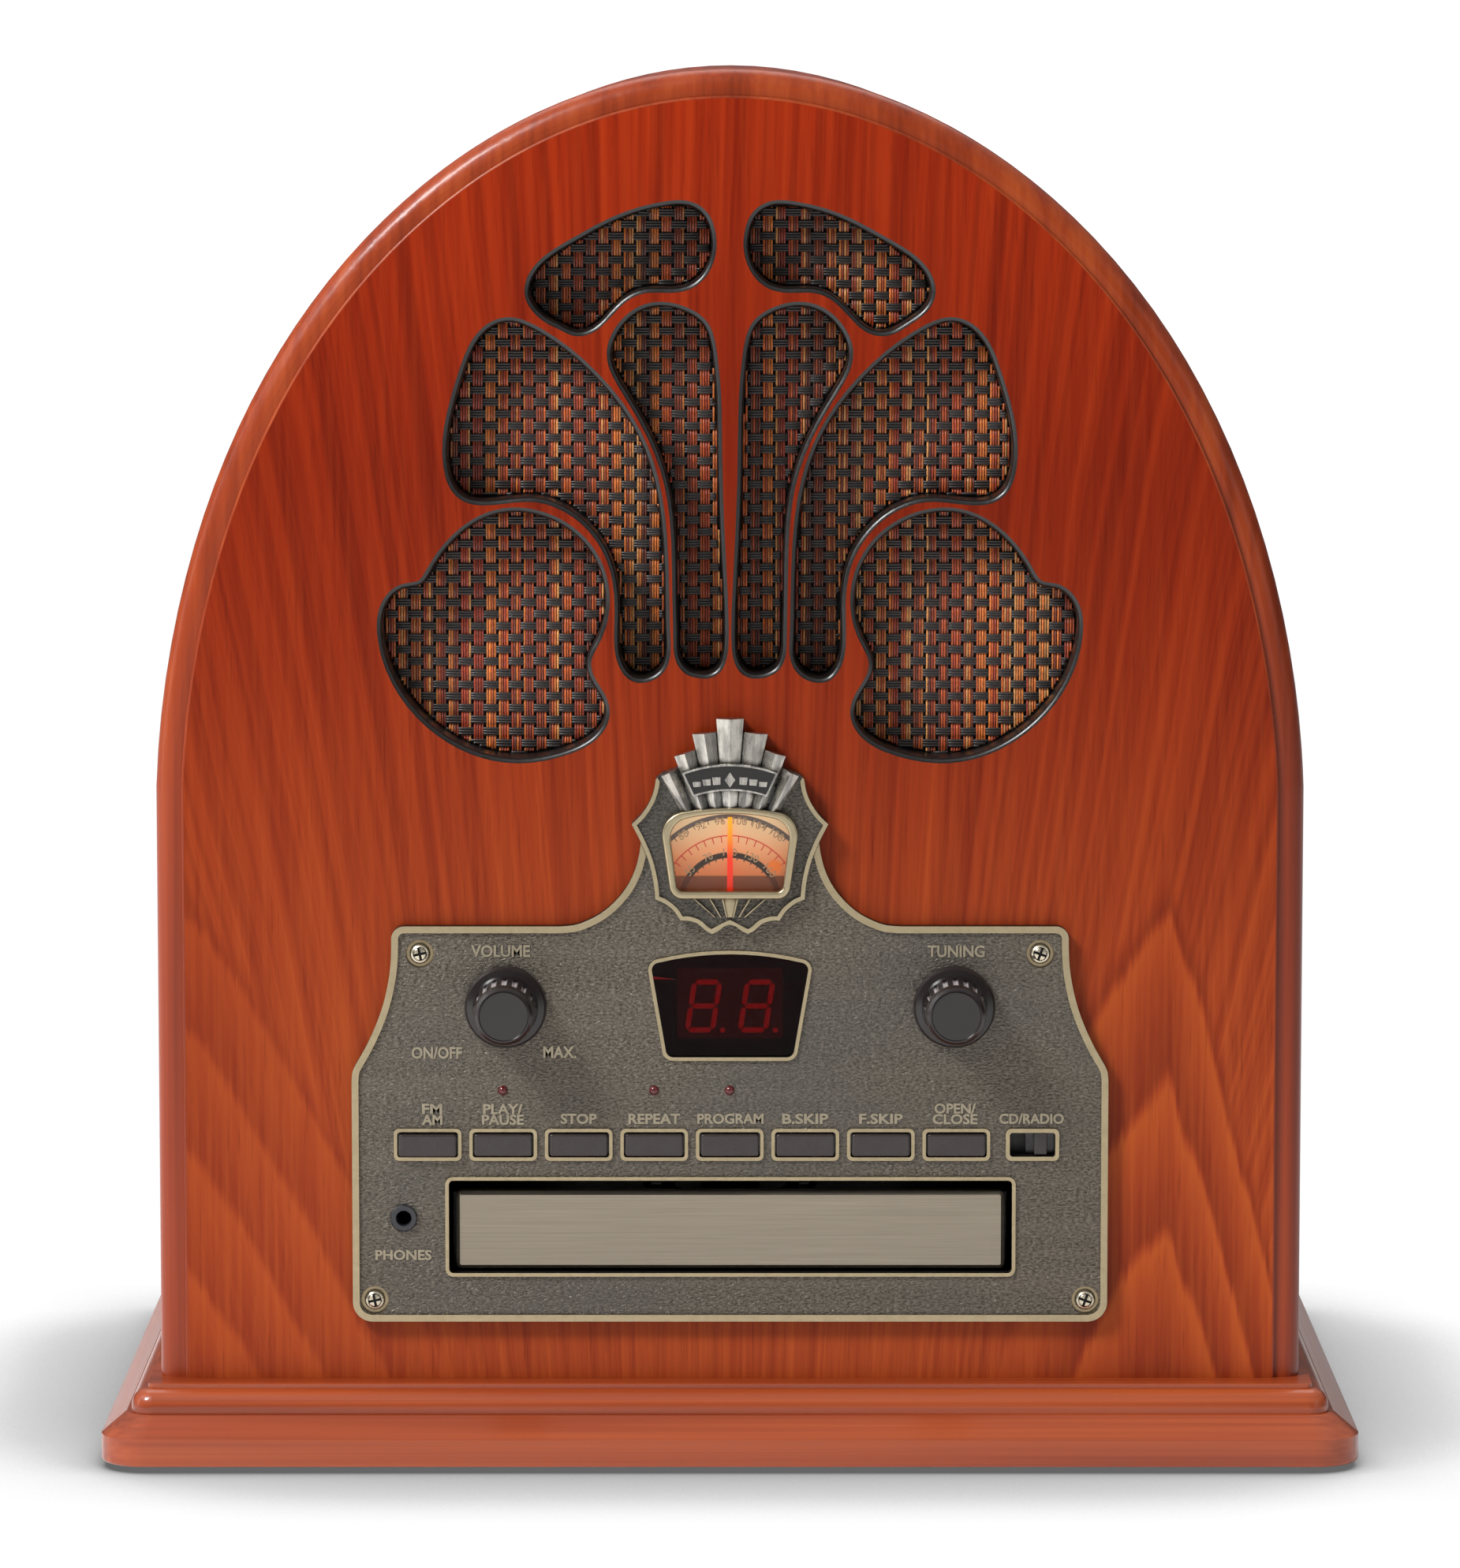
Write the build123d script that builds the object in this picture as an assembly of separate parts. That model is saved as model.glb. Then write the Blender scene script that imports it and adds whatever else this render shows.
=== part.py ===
from build123d import *
import math
import os

# Cathedral table radio with a disc player.  +X is the listener's right, the
# front faces -Y, +Z is up.  The origin is on the floor at the centre of the
# overall depth and width.  Millimetres.

os.makedirs("parts", exist_ok=True)

# ---------------------------------------------------------- main dimensions
front = -88.7              # y of the front panel's face
panel_t = 12.0             # front panel thickness
panel_back = front + panel_t
shell_back = 93.0          # y of the rear edge of the bent side shell
shell_inset = 1.3          # shell sits this far inside the panel outline
shell_t = 4.5
shell_inner = shell_inset + shell_t

foot_h = 1.5
base_top = 19.8            # z of the plinth's top, where the cabinet stands

plate_t = 2.4              # faceplate
plate_front = front - plate_t
rim_h = 0.8                # raised rims on the faceplate
field_y = front - 4.0      # face of the escutcheon inside its rim
board_front = front + 8.0  # control board behind the faceplate
board_back = front + 9.6

knob_x = 54.1              # tuning knob at +knob_x, volume knob at -knob_x
knob_z = 111.4
shaft_r = 3.0

button_z = 77.69
button_pitch = 18.26
buttons_x = [-73.1 + button_pitch * i for i in range(8)]
switch_x = 73.15           # centre of the selector switch opening
jack_x, jack_z = -78.96, 59.7
led_points = [(-54.9, 90.9), (-18.35, 90.9), (-0.1, 90.9)]
plate_screws = [(-74.8, 124.2), (74.8, 124.2), (-86.1, 39.5), (86.1, 39.5)]
board_posts = [(-77.6, 111.8), (77.6, 111.8), (-77.6, 87.0), (77.6, 87.0)]

slot_x, slot_z = 0.1, 57.57   # centre of the disc slot
disc_y = front + 67.0         # disc centre with the tray closed
pivot_z = 136.0               # dial pointer pivot

# y ranges that cut right through the faceplate and the front panel
plate_cut = (front - 5, front + 1)
panel_cut = (front - 1, panel_back + 1)


# ------------------------------------------------------------------- helpers
def plane_at(y):
    """Plane at y whose sketch axes are the world's x and z."""
    return Plane(origin=(0, y, 0), x_dir=(1, 0, 0), z_dir=(0, -1, 0))


def prism(face, y0, y1):
    """A face drawn in (x, z), made solid between y0 and y1."""
    return extrude(plane_at(y1) * face, amount=y1 - y0, dir=(0, -1, 0))


def slab(face, z0, z1):
    """A face drawn in (x, y), made solid between z0 and z1."""
    return extrude(Pos(0, 0, z0) * face, amount=z1 - z0, dir=(0, 0, 1))


def poly(points):
    return Face(Wire(Polyline(*points, close=True).edges()))


def edge_face(edges):
    return Face(Wire(edges))


def rounded(x0, x1, z0, z1, radius):
    return Pos((x0 + x1) / 2, (z0 + z1) / 2) * RectangleRounded(x1 - x0, z1 - z0, radius)


def rounded_about(x, z, half_w, half_h, radius):
    return rounded(x - half_w, x + half_w, z - half_h, z + half_h, radius)


def box(x0, x1, y0, y1, z0, z1):
    return Pos((x0 + x1) / 2, (y0 + y1) / 2, (z0 + z1) / 2) * Box(x1 - x0, y1 - y0, z1 - z0)


def side_box(side, near, far, *rest):
    """A box from near to far off the centre plane, on side -1 or +1."""
    return box(min(side * near, side * far), max(side * near, side * far), *rest)


def rod_x(y, z, radius, x0, x1):
    return Pos((x0 + x1) / 2, y, z) * Rot(0, 90, 0) * Cylinder(radius, x1 - x0)


def rod_y(x, z, radius, y0, y1):
    return Pos(x, (y0 + y1) / 2, z) * Rot(90, 0, 0) * Cylinder(radius, y1 - y0)


def rod_z(x, y, radius, z0, z1):
    return Pos(x, y, (z0 + z1) / 2) * Cylinder(radius, z1 - z0)


def turned(profile, x, z, y0=0.0):
    """(radius, y - y0) points turned about a front-to-back axis."""
    face = poly([(radius, y0 + y) for radius, y in profile])
    return Pos(x, 0, z) * revolve(face, Axis.Y, 360)


def turned_z(profile, x, y):
    """(radius, z) points turned about an upright axis."""
    return Pos(x, y, 0) * revolve(plane_at(0) * poly(profile), Axis.Z, 360)


def around(x, z, radius, degrees):
    """The point at an angle on a circle about (x, z)."""
    angle = math.radians(degrees)
    return x + radius * math.cos(angle), z + radius * math.sin(angle)


def mirrored(points):
    return [(-x, z) for x, z in reversed(points)]


def front_edges(shape, y, test=lambda bounds: True):
    """Edges lying in the plane at y whose bounds pass the test."""
    found = []
    for edge in shape.edges():
        bounds = edge.bounding_box()
        if abs(bounds.min.Y - y) < 0.002 and abs(bounds.max.Y - y) < 0.002 and test(bounds):
            found.append(edge)
    return found


def level_edges(shape, z):
    """Level edges at height z."""
    return [edge for edge in shape.edges()
            if abs(edge.center().Z - z) < 0.01 and edge.bounding_box().size.Z < 0.01]


def smooth_points(start, end, between, steps=4):
    """Points along a Catmull-Rom curve from start to end."""
    chain = [start] + list(between) + [end]
    out = [start]
    for i in range(len(chain) - 1):
        p0 = chain[max(i - 1, 0)]
        p1, p2 = chain[i], chain[i + 1]
        p3 = chain[min(i + 2, len(chain) - 1)]
        for k in range(1, steps + 1):
            t = k / steps
            out.append(tuple(
                0.5 * (2 * p1[j] + (p2[j] - p0[j]) * t
                       + (2 * p0[j] - 5 * p1[j] + 4 * p2[j] - p3[j]) * t * t
                       + (3 * p1[j] - p0[j] - 3 * p2[j] + p3[j]) * t ** 3)
                for j in (0, 1)))
    return out


def inset_poly(points, inset):
    """A counter-clockwise polygon moved inwards, corners mitred."""
    out = []
    for i, here in enumerate(points):
        before, after = points[i - 1], points[(i + 1) % len(points)]
        normals = []
        for tail, head in ((before, here), (here, after)):
            dx, dz = head[0] - tail[0], head[1] - tail[1]
            length = math.hypot(dx, dz)
            normals.append((-dz / length, dx / length))
        (ux, uz), (vx, vz) = normals
        stretch = max(1 + ux * vx + uz * vz, 0.45)   # limits the mitre at sharp corners
        out.append((here[0] + inset * (ux + vx) / stretch,
                    here[1] + inset * (uz + vz) / stretch))
    return out


def faceted(polygons):
    """A solid closed by flat polygons of (x, y, z) points."""
    return Solid(Shell([Face(Wire.make_polygon(points, close=True)) for points in polygons]))


def save(name, *shapes):
    solids = [solid for shape in shapes for solid in shape.solids()]
    export_step(solids[0] if len(solids) == 1 else Compound(solids), "parts/" + name + ".step")


# --------------------------------------------------------- the arched outline
# (x, z) down the right half, from the crown to where the straight side begins
arch_points = [
    (0.0, 336.5), (16.21, 335.24), (32.0, 331.53), (47.11, 325.6), (61.29, 317.7),
    (74.38, 308.11), (86.31, 297.11), (97.03, 284.91), (106.47, 271.71),
    (114.63, 257.68), (121.53, 242.98), (127.21, 227.77), (131.71, 212.17),
    (135.1, 196.29), (137.41, 180.21), (138.6, 164.0),
]


def arch_half(inset):
    out = []
    last = len(arch_points) - 1
    for i, (x, z) in enumerate(arch_points):
        if i == 0:
            nx, nz = 0.0, 1.0
        elif i == last:
            nx, nz = 1.0, 0.0
        else:
            (xa, za), (xb, zb) = arch_points[i - 1], arch_points[i + 1]
            length = math.hypot(xb - xa, zb - za)
            nx, nz = -(zb - za) / length, (xb - xa) / length
        out.append((x - inset * nx, z - inset * nz))
    return out


def arch_face(inset, bottom=base_top):
    right = arch_half(inset)
    xe, ze = right[-1]
    curve = Spline(*(mirrored(right)[:-1] + right))
    return edge_face([Line((-xe, bottom), (-xe, ze)), curve,
                      Line((xe, ze), (xe, bottom)), Line((xe, bottom), (-xe, bottom))])


def arch_top(inset, y0, y1, bottom):
    """The part of the inset arch above bottom."""
    return prism(arch_face(inset, 150), y0, y1) & box(-140, 140, front, 0, bottom, 340)


# -------------------------------------------------------------- base plinth
base_w, base_d = 304.4, 216.0
base_front = front - 18.6
base_corner_r = 11.0
base_vertical = 6.65       # height of the plinth's upright band
base_bevel_h, base_bevel_d = 4.95, 6.0
base_ledge = 1.2
base_round = 4.0
base_riser = 1.1


def plan(inset, radius):
    outline = RectangleRounded(base_w - 2 * inset, base_d - 2 * inset, radius)
    return Pos(0, base_front + base_d / 2) * outline


bevel_z0 = foot_h + base_vertical
bevel_z1 = bevel_z0 + base_bevel_h
round_top = base_top - base_riser
round_inset = base_bevel_d + base_ledge
band = slab(plan(0, base_corner_r), foot_h, bevel_z0)
band = fillet(level_edges(band, foot_h), 0.8)
bevel = loft([Pos(0, 0, bevel_z0) * plan(0, base_corner_r),
              Pos(0, 0, bevel_z1) * plan(base_bevel_d, base_corner_r - 4.0)], ruled=True)
rounding = slab(plan(round_inset, 5.2), bevel_z1, round_top)
rounding = fillet(level_edges(rounding, round_top), base_round)
riser = slab(plan(round_inset + base_round, 1.6), round_top - 0.5, base_top)
save("base_plinth", band + bevel + rounding + riser)

foot_x, foot_r, foot_inset = 128, 9.0, 24
feet = []
for side in (-1, 1):
    for y in (base_front + foot_inset, base_front + base_d - foot_inset):
        foot = rod_z(side * foot_x, y, foot_r, 0, foot_h)
        feet.append(chamfer(level_edges(foot, 0), 0.5))
save("base_feet", *feet)

# --------------------------------------------------------------- front panel
bead_w = 6.3               # width of the edge moulding
bead_r = 4.5               # its round
bead_drop = 1.0            # quirk between the face and the round


def above_base(bounds):
    return bounds.max.Z > base_top + 1


def on_grille_opening(bounds):
    return (bounds.min.Z > 166 and bounds.max.Z < 306
            and bounds.max.X < 90 and bounds.min.X > -90
            and (bounds.max.X < 0 or bounds.min.X > 0))


panel = prism(arch_face(0), front + bead_drop, panel_back)
panel = fillet(front_edges(panel, front + bead_drop, above_base), bead_r)
raised = prism(arch_face(bead_w), front, front + 3.0)
raised = fillet(front_edges(raised, front, above_base), 0.6)
panel = panel + raised

# Grille openings, (x, z) round closed splines: the right-hand set, which the
# left-hand set mirrors
top_vane = [
    (36.89, 274.09), (33.47, 274.74), (29.12, 278.55), (24.4, 282.84), (20.05, 284.39),
    (13.33, 284.46), (9.14, 285.64), (6.09, 288.73), (4.5, 293.21), (4.76, 298.13),
    (6.7, 302.07), (9.87, 303.89), (15.24, 303.86), (22.24, 302.29), (29.45, 299.4),
    (37.27, 295.14), (44.15, 290.65), (47.07, 287.02), (47.92, 283.04), (46.39, 279.75),
    (41.83, 276.28),
]
inner_slot = [
    (5.34, 191.87), (3.38, 192.89), (2.08, 195.29), (1.52, 199.45), (1.54, 206.34),
    (1.93, 214.99), (2.45, 225.05), (2.83, 234.43), (3.04, 243.35), (3.14, 252.87),
    (3.42, 260.46), (4.04, 267.14), (5.01, 272.59), (6.34, 275.51), (8.78, 277.65),
    (12.44, 279.29), (16.22, 279.94), (19.74, 279.48), (22.89, 277.95), (25.64, 275.35),
    (27.57, 272.13), (28.3, 268.92), (27.76, 265.62), (25.81, 261.61), (22.03, 255.39),
    (18.92, 249.55), (16.52, 243.97), (14.83, 238.51), (13.7, 232.67), (13.05, 226.17),
    (12.76, 218.68), (12.65, 209.05), (12.45, 200.24), (12.01, 195.61), (10.77, 193.4),
    (8.33, 192.08),
]
outer_sweep = [
    (22.63, 190.93), (19.91, 191.0), (17.16, 192.64), (15.73, 195.33), (15.5, 200.39),
    (15.74, 211.03), (16.02, 220.64), (16.62, 228.63), (17.7, 235.74), (19.35, 242.17),
    (21.65, 248.0), (24.74, 253.57), (28.63, 258.94), (33.22, 264.01), (38.33, 268.63),
    (43.61, 272.43), (48.79, 275.26), (52.59, 276.25), (55.92, 275.59), (59.03, 273.4),
    (61.54, 269.82), (63.68, 264.41), (66.21, 256.01), (67.46, 249.9), (67.74, 244.22),
    (67.04, 239.42), (65.4, 236.04), (62.91, 234.18), (59.01, 233.54), (52.57, 234.12),
    (47.26, 234.36), (42.6, 233.38), (38.15, 231.25), (34.15, 228.07), (30.86, 224.08),
    (28.49, 219.54), (27.1, 214.43), (26.55, 208.43), (26.7, 201.04), (26.3, 196.17),
    (24.86, 192.7),
]
speaker_lobe = [
    (53.25, 171.41), (46.95, 171.58), (40.29, 173.08), (34.81, 175.45), (31.46, 178.51),
    (30.09, 182.21), (30.95, 185.85), (33.88, 190.95), (34.5, 194.93), (32.42, 199.72),
    (30.5, 204.99), (30.06, 210.67), (31.14, 216.29), (33.64, 221.33), (37.42, 225.47),
    (42.34, 228.58), (47.87, 230.35), (53.44, 230.59), (58.65, 229.23), (63.64, 226.25),
    (68.12, 221.85), (71.73, 216.46), (74.21, 213.22), (78.35, 212.28), (81.49, 210.13),
    (83.33, 206.38), (83.57, 201.17), (82.28, 194.98), (79.67, 189.01), (75.89, 183.55),
    (71.1, 178.84), (65.56, 175.13), (59.55, 172.61),
]
for right_outline in (top_vane, inner_slot, outer_sweep, speaker_lobe):
    for outline in (right_outline, mirrored(right_outline)):
        opening = Face(Wire([Spline(*outline, periodic=True)]))
        panel = panel - prism(opening, *panel_cut)
panel = fillet(front_edges(panel, front, on_grille_opening), 1.2)
# overlapping openings behind the faceplate and dial: half width, z from, z to
for half_w, z0, z1 in ((84.5, 44, 92), (81.2, 50, 117), (19, 110, 161), (21.6, 105, 126)):
    panel = panel - prism(rounded(-half_w, half_w, z0, z1, 3), *panel_cut)
panel = panel - rod_y(-knob_x, knob_z, 9.0, *panel_cut)
for x, z in plate_screws:
    panel = panel - rod_y(x, z, 1.2, front - 1, front + 9)
save("front_panel", panel)

# ------------------------------------------------- shell, rear frame, cover
shell = prism(arch_face(shell_inset), panel_back, shell_back) \
    - prism(arch_face(shell_inner, 5), panel_back - 1, shell_back + 1)
save("cabinet_shell", shell)

frame_y0, cover_y0 = 80, 90
frame_w = 11
slot_pitch_x, slot_pitch_z = 19, 9
cord_x, cord_z = 104.0, 68.0      # power cord exit
wire_x, wire_z = -104.0, 62.0     # aerial wire exit

frame_cut = (frame_y0 - 1, cover_y0 + 1)
cover_cut = (cover_y0 - 1, shell_back + 1)
frame = prism(arch_face(shell_inner), frame_y0, cover_y0) \
    - prism(arch_face(shell_inner + frame_w, base_top + frame_w), *frame_cut)
cover = prism(arch_face(shell_inner + 0.3, base_top + 0.3), cover_y0, shell_back)

cover_screws = []
screw_line = arch_half(shell_inner + 6)
for i in (0, 4, 8, 12):
    x, z = screw_line[i]
    cover_screws.append((x, z))
    if i:
        cover_screws.append((-x, z))
cover_screws += [(126.7, 95.0), (-126.7, 95.0), (100.0, 25.6), (-100.0, 25.6), (0.0, 25.6)]
for x, z in cover_screws:
    frame = frame - rod_y(x, z, 1.5, *frame_cut)
    cover = cover - rod_y(x, z, 1.9, *cover_cut)

# rows of slots: (z, how many)
slot_rows = [(262 - row * slot_pitch_z, 7 if row == 0 else 9) for row in range(7)]
slot_rows += [(66 + row * slot_pitch_z, 5) for row in range(4)]
for z, count in slot_rows:
    for column in range(count):
        x = (column - (count - 1) / 2) * slot_pitch_x
        cover = cover - prism(Pos(x, z) * SlotOverall(14, 3.4), *cover_cut)
cover = cover - rod_y(cord_x, cord_z, 5.0, *cover_cut) - rod_y(wire_x, wire_z, 2.0, *cover_cut)
save("rear_frame", frame)
save("back_cover", cover)

back_screws = []
screw_profile = [(0, 94.9), (1.6, 94.7), (2.8, 94.0), (3.2, shell_back), (1.5, shell_back),
                 (1.5, 81.5), (0, 80.2)]
for x, z in cover_screws:
    screw = turned(screw_profile, x, z)
    for half_w, half_h in ((1.9, 0.35), (0.35, 1.9)):    # cross recess
        screw = screw - box(x - half_w, x + half_w, 94.0, 95.2, z - half_h, z + half_h)
    back_screws.append(screw)
save("back_screws", *back_screws)

# ---------------------------------------------------- cloth, baffle, drivers
cloth_t, baffle_t = 0.8, 5.0
baffle_front = panel_back + cloth_t
baffle_back = baffle_front + baffle_t
speaker_x, speaker_z = 56.0, 203.0
speaker_r = 39.5
speaker_screw_ring = 37.4

save("grille_cloth", arch_top(24, panel_back, baffle_front, 167))

# driver profiles: (radius, distance behind the baffle)
frame_profile = [
    (35.0, 0), (speaker_r, 0), (speaker_r, 1.4), (36.4, 1.4), (34.5, 6), (21.5, 19),
    (21.5, 20.4), (10.5, 20.4), (10.5, 19), (20.3, 19), (33.4, 5.4), (34.9, 1.4)]
cone_profile = [
    (0, 9.0), (5, 9.6), (9.4, 12.2), (10.1, 13.0), (29.0, 2.2), (31.0, 0.8), (33.0, 2.0),
    (34.4, 2.0), (34.4, 2.6), (32.7, 2.6), (31.0, 1.5), (29.4, 2.9), (10.0, 14.2),
    (10.0, 18.6), (9.4, 18.6), (9.4, 13.2), (4.8, 10.3), (0, 9.7)]
magnet_profile = [
    (0, 22.4), (8.4, 22.4), (8.4, 20.4), (24.0, 20.4), (24.5, 21.0), (24.5, 30.0),
    (22.5, 32.5), (0, 32.5)]
driver_screw_profile = [
    (0, 3.0), (1.6, 2.8), (2.0, 1.4), (1.3, 1.4), (1.3, 0.6 - baffle_t), (0, 0.2 - baffle_t)]

baffle = arch_top(12, baffle_front, baffle_back, 161.5)
driver_frames, cones, magnets, driver_screws = [], [], [], []
for side in (-1, 1):
    driver_x = side * speaker_x
    baffle = baffle - rod_y(driver_x, speaker_z, 35.5, baffle_front - 1, baffle_back + 1)
    basket = turned(frame_profile, driver_x, speaker_z, baffle_back)
    for k in range(6):
        angle = 60 * k + 30
        x, z = around(driver_x, speaker_z, 29.0, angle)
        basket = basket - Pos(x, baffle_back + 12, z) * Rot(0, -angle, 0) * Box(12, 10, 14)
    for k in range(4):
        x, z = around(driver_x, speaker_z, speaker_screw_ring, 45 + 90 * k)
        basket = basket - rod_y(x, z, 1.5, baffle_back - 1, baffle_back + 3) \
            - rod_y(x, z, 2.15, baffle_back + 1.4, baffle_back + 3.3)
        baffle = baffle - rod_y(x, z, 1.3, baffle_front - 1, baffle_back + 1)
        driver_screws.append(turned(driver_screw_profile, x, z, baffle_back))
    driver_frames.append(basket)
    cones.append(turned(cone_profile, driver_x, speaker_z, baffle_back))
    magnets.append(turned(magnet_profile, driver_x, speaker_z, baffle_back))
save("speaker_baffle", baffle)
save("speaker_frames", *driver_frames)
save("speaker_cones", *cones)
save("speaker_magnets", *magnets)
save("speaker_screws", *driver_screws)

# ----------------------------------------------------- escutcheon outline
# (x, z) up the right side: corners, the curve points between each pair, and
# the points across the top
shield_corners = [(0, 131.65), (4.3, 129.38), (11.91, 132.6), (17.95, 137.78),
                  (23.6, 155.95), (17.78, 166.9)]
shield_curves = [
    [(1.3, 131.25), (2.8, 130.1)],
    [(5.9, 130.25), (7.75, 131.85), (9.97, 132.6)],
    [(13.55, 135.0), (15.68, 136.75)],
    [(18.2, 140.7), (18.8, 144.2), (19.75, 147.6), (21.3, 151.4)],
    [(21.3, 158.3), (19.45, 161.1), (18.3, 164.0)],
]
shield_top = [(16.5, 168.0), (12.2, 169.6), (6.0, 171.0)]
shield_top_z = 171.2


def shield_outline(inset):
    """Closed outline of the escutcheon, moved inwards."""
    chain, is_corner = [], []
    for i, corner in enumerate(shield_corners):
        chain.append(corner)
        is_corner.append(True)
        for point in shield_curves[i] if i < len(shield_curves) else []:
            near = min(math.hypot(point[0] - other[0], point[1] - other[1])
                       for other in shield_corners)
            # an inset outline skips curve points that crowd a corner
            if inset == 0 or near > 1.75:
                chain.append(point)
                is_corner.append(False)
    chain += shield_top
    is_corner += [True] * len(shield_top)
    moved = inset_poly(chain + [(0, shield_top_z)] + mirrored(chain[1:]), inset)[:len(chain)]
    moved[0] = (0, moved[0][1])
    right = [moved[0]]
    start, between = moved[0], []
    for point, corner in zip(moved[1:], is_corner[1:]):
        if corner:
            right += smooth_points(start, point, between, 4 if between else 1)[1:]
            start, between = point, []
        else:
            between.append(point)
    return right + [(0, shield_top_z - inset)] + mirrored(right[1:])


shield_out = poly(shield_outline(0))

# ---------------------------------------------------------------- faceplate
plate_half = 91.4          # half width below the taper
plate_bottom = 34.3
plate_top = 130.95
upper_half = 81.65         # half width above the taper
taper_z = 93.0             # where the taper starts
neck_x = 41.5              # where the neck leaves the top edge
neck_half = 21.3
plate_rim_w = 1.65
slot_w, slot_h = 136.3, 22.7
slot_rim_w = 0.87

# (x, z) points up the right-hand taper and neck
taper = [(91.2, 95.4), (90.38, 97.3), (88.2, 101.1), (86.33, 104.93), (84.75, 108.77),
         (83.5, 112.62), (82.5, 117.0), (81.85, 121.5), (81.65, 126.0)]
neck = [(37.6, 131.25), (34.3, 132.4), (31.3, 134.0), (28.9, 135.85), (26.8, 138.0),
        (25.0, 140.35), (23.65, 142.8), (22.65, 145.3), (21.95, 148.0), (21.5, 150.8)]


def shifted(points, inset, start, end):
    """Points moved to the left of their direction of travel."""
    chain = [start] + points + [end]
    out = []
    for i in range(1, len(chain) - 1):
        (xa, za), (xb, zb) = chain[i - 1], chain[i + 1]
        length = math.hypot(xb - xa, zb - za)
        out.append((chain[i][0] - inset * (zb - za) / length,
                    chain[i][1] + inset * (xb - xa) / length))
    return out


def chords(points):
    return [Line(start, end) for start, end in zip(points, points[1:])]


def plate_face(inset, top=154.0):
    """The faceplate outline moved inwards."""
    low_r, high_r = 4.8 - inset, 3.1 - inset
    low_sag, high_sag = [radius * (1 - math.sqrt(0.5)) for radius in (low_r, high_r)]
    low_x, low_z = plate_half - inset, plate_bottom + inset
    high_x, high_z = upper_half - inset, plate_top - inset
    top_x = neck_half - inset
    taper_in = shifted(taper, inset, (plate_half, taper_z), (upper_half, 127.5))
    neck_in = shifted(neck, inset, (neck_x, plate_top), (neck_half, 153.5))
    right = [
        Line((0, low_z), (low_x - low_r, low_z)),
        ThreePointArc((low_x - low_r, low_z), (low_x - low_sag, low_z + low_sag),
                      (low_x, low_z + low_r)),
        Line((low_x, low_z + low_r), (low_x, taper_z)),
        *chords(smooth_points((low_x, taper_z), (high_x, plate_top - 3.1), taper_in, 2)),
        ThreePointArc((high_x, high_z - high_r), (high_x - high_sag, high_z - high_sag),
                      (high_x - high_r, high_z)),
        Line((high_x - high_r, high_z), (neck_x, high_z)),
        *chords(smooth_points((neck_x, high_z), (top_x, top), neck_in, 2))]
    left = [edge.mirror(Plane.YZ) for edge in right]
    return Face(Wire(right + left + [Line((-top_x, top), (top_x, top))]))


def window_face(low_x, high_x, low_z, high_z, crown_z):
    """A window with a flat sill, leaning sides and an arched head."""
    return edge_face([
        Line((-low_x, low_z), (low_x, low_z)), Line((low_x, low_z), (high_x, high_z)),
        ThreePointArc((high_x, high_z), (0, crown_z), (-high_x, high_z)),
        Line((-high_x, high_z), (-low_x, low_z))])


def raised_rim(outer, inner):
    return prism(outer, plate_front - rim_h, plate_front) \
        - prism(inner, plate_front - rim_h - 1, plate_front + 1)


display_out = fillet(window_face(15.95, 20.1, 98.2, 122.3, 125.05).vertices(), 2.7)
display_in = offset(display_out, amount=-0.86)

plate = prism(plate_face(0), plate_front, front)
plate_rim = raised_rim(plate_face(0), plate_face(plate_rim_w, 160.0))
plate = plate + (plate_rim - prism(shield_out, front - 6, plate_front))

rimmed_openings = [(display_out, display_in)]
for x in buttons_x:
    rimmed_openings.append((rounded_about(x, button_z, 8.18, 3.92, 1.3),
                            rounded_about(x, button_z, 7.36, 3.08, 0.7)))
rimmed_openings.append((rounded_about(switch_x, button_z, 6.45, 3.92, 1.3),
                        rounded_about(switch_x, button_z, 5.5, 2.92, 0.7)))
rimmed_openings.append((
    rounded_about(slot_x, slot_z, slot_w / 2 + slot_rim_w, slot_h / 2 + slot_rim_w, 1.9),
    rounded_about(slot_x, slot_z, slot_w / 2, slot_h / 2, 1.1)))
for outer, inner in rimmed_openings:
    plate = plate + raised_rim(outer, inner)
    plate = plate - prism(inner, *plate_cut)

for x, z in plate_screws:
    plate = plate - rod_y(x, z, 3.4, front - 5, front - 1.5) - rod_y(x, z, 1.2, *plate_cut)
for x, z in led_points:
    plate = plate - rod_y(x, z, 1.2, *plate_cut)
for x in (-knob_x, knob_x):
    plate = plate - rod_y(x, knob_z, 4.2, *plate_cut)
plate = plate - rod_y(jack_x, jack_z, 2.8, *plate_cut)
plate = plate - (prism(poly(shield_outline(1.4)), *plate_cut)
                 & box(-16.8, 16.8, *plate_cut, 132.9, 156))
for x, z in board_posts:
    plate = plate + rod_y(x, z, 2.4, front, board_front)
save("faceplate", plate)

# (radius, distance behind the panel face)
plate_screw_profile = [(0, -3.35), (1.3, -3.2), (2.1, -2.75), (2.45, -2.1), (2.45, -1.5),
                       (1.2, -1.5), (1.2, 7.6), (0, 8.8)]
screws = []
for x, z in plate_screws:
    recess = Box(3.3, 1.6, 0.62) + Box(0.62, 1.6, 3.3)
    recess_turn = 20 if x > 0 else -12
    screws.append(turned(plate_screw_profile, x, z, front)
                  - Pos(x, front - 3.3, z) * Rot(0, recess_turn, 0) * recess)
save("faceplate_screws", *screws)


# --------------------------------------------------- escutcheon and dial lens
def bezel_face(low_x, high_x, low_z, high_z, crown_z, low_r, high_r):
    face = window_face(low_x, high_x, low_z, high_z, crown_z)
    face = fillet([v for v in face.vertices() if v.Y > high_z - 0.5], high_r)
    return fillet([v for v in face.vertices() if v.Y < low_z + 0.01], low_r)


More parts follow.
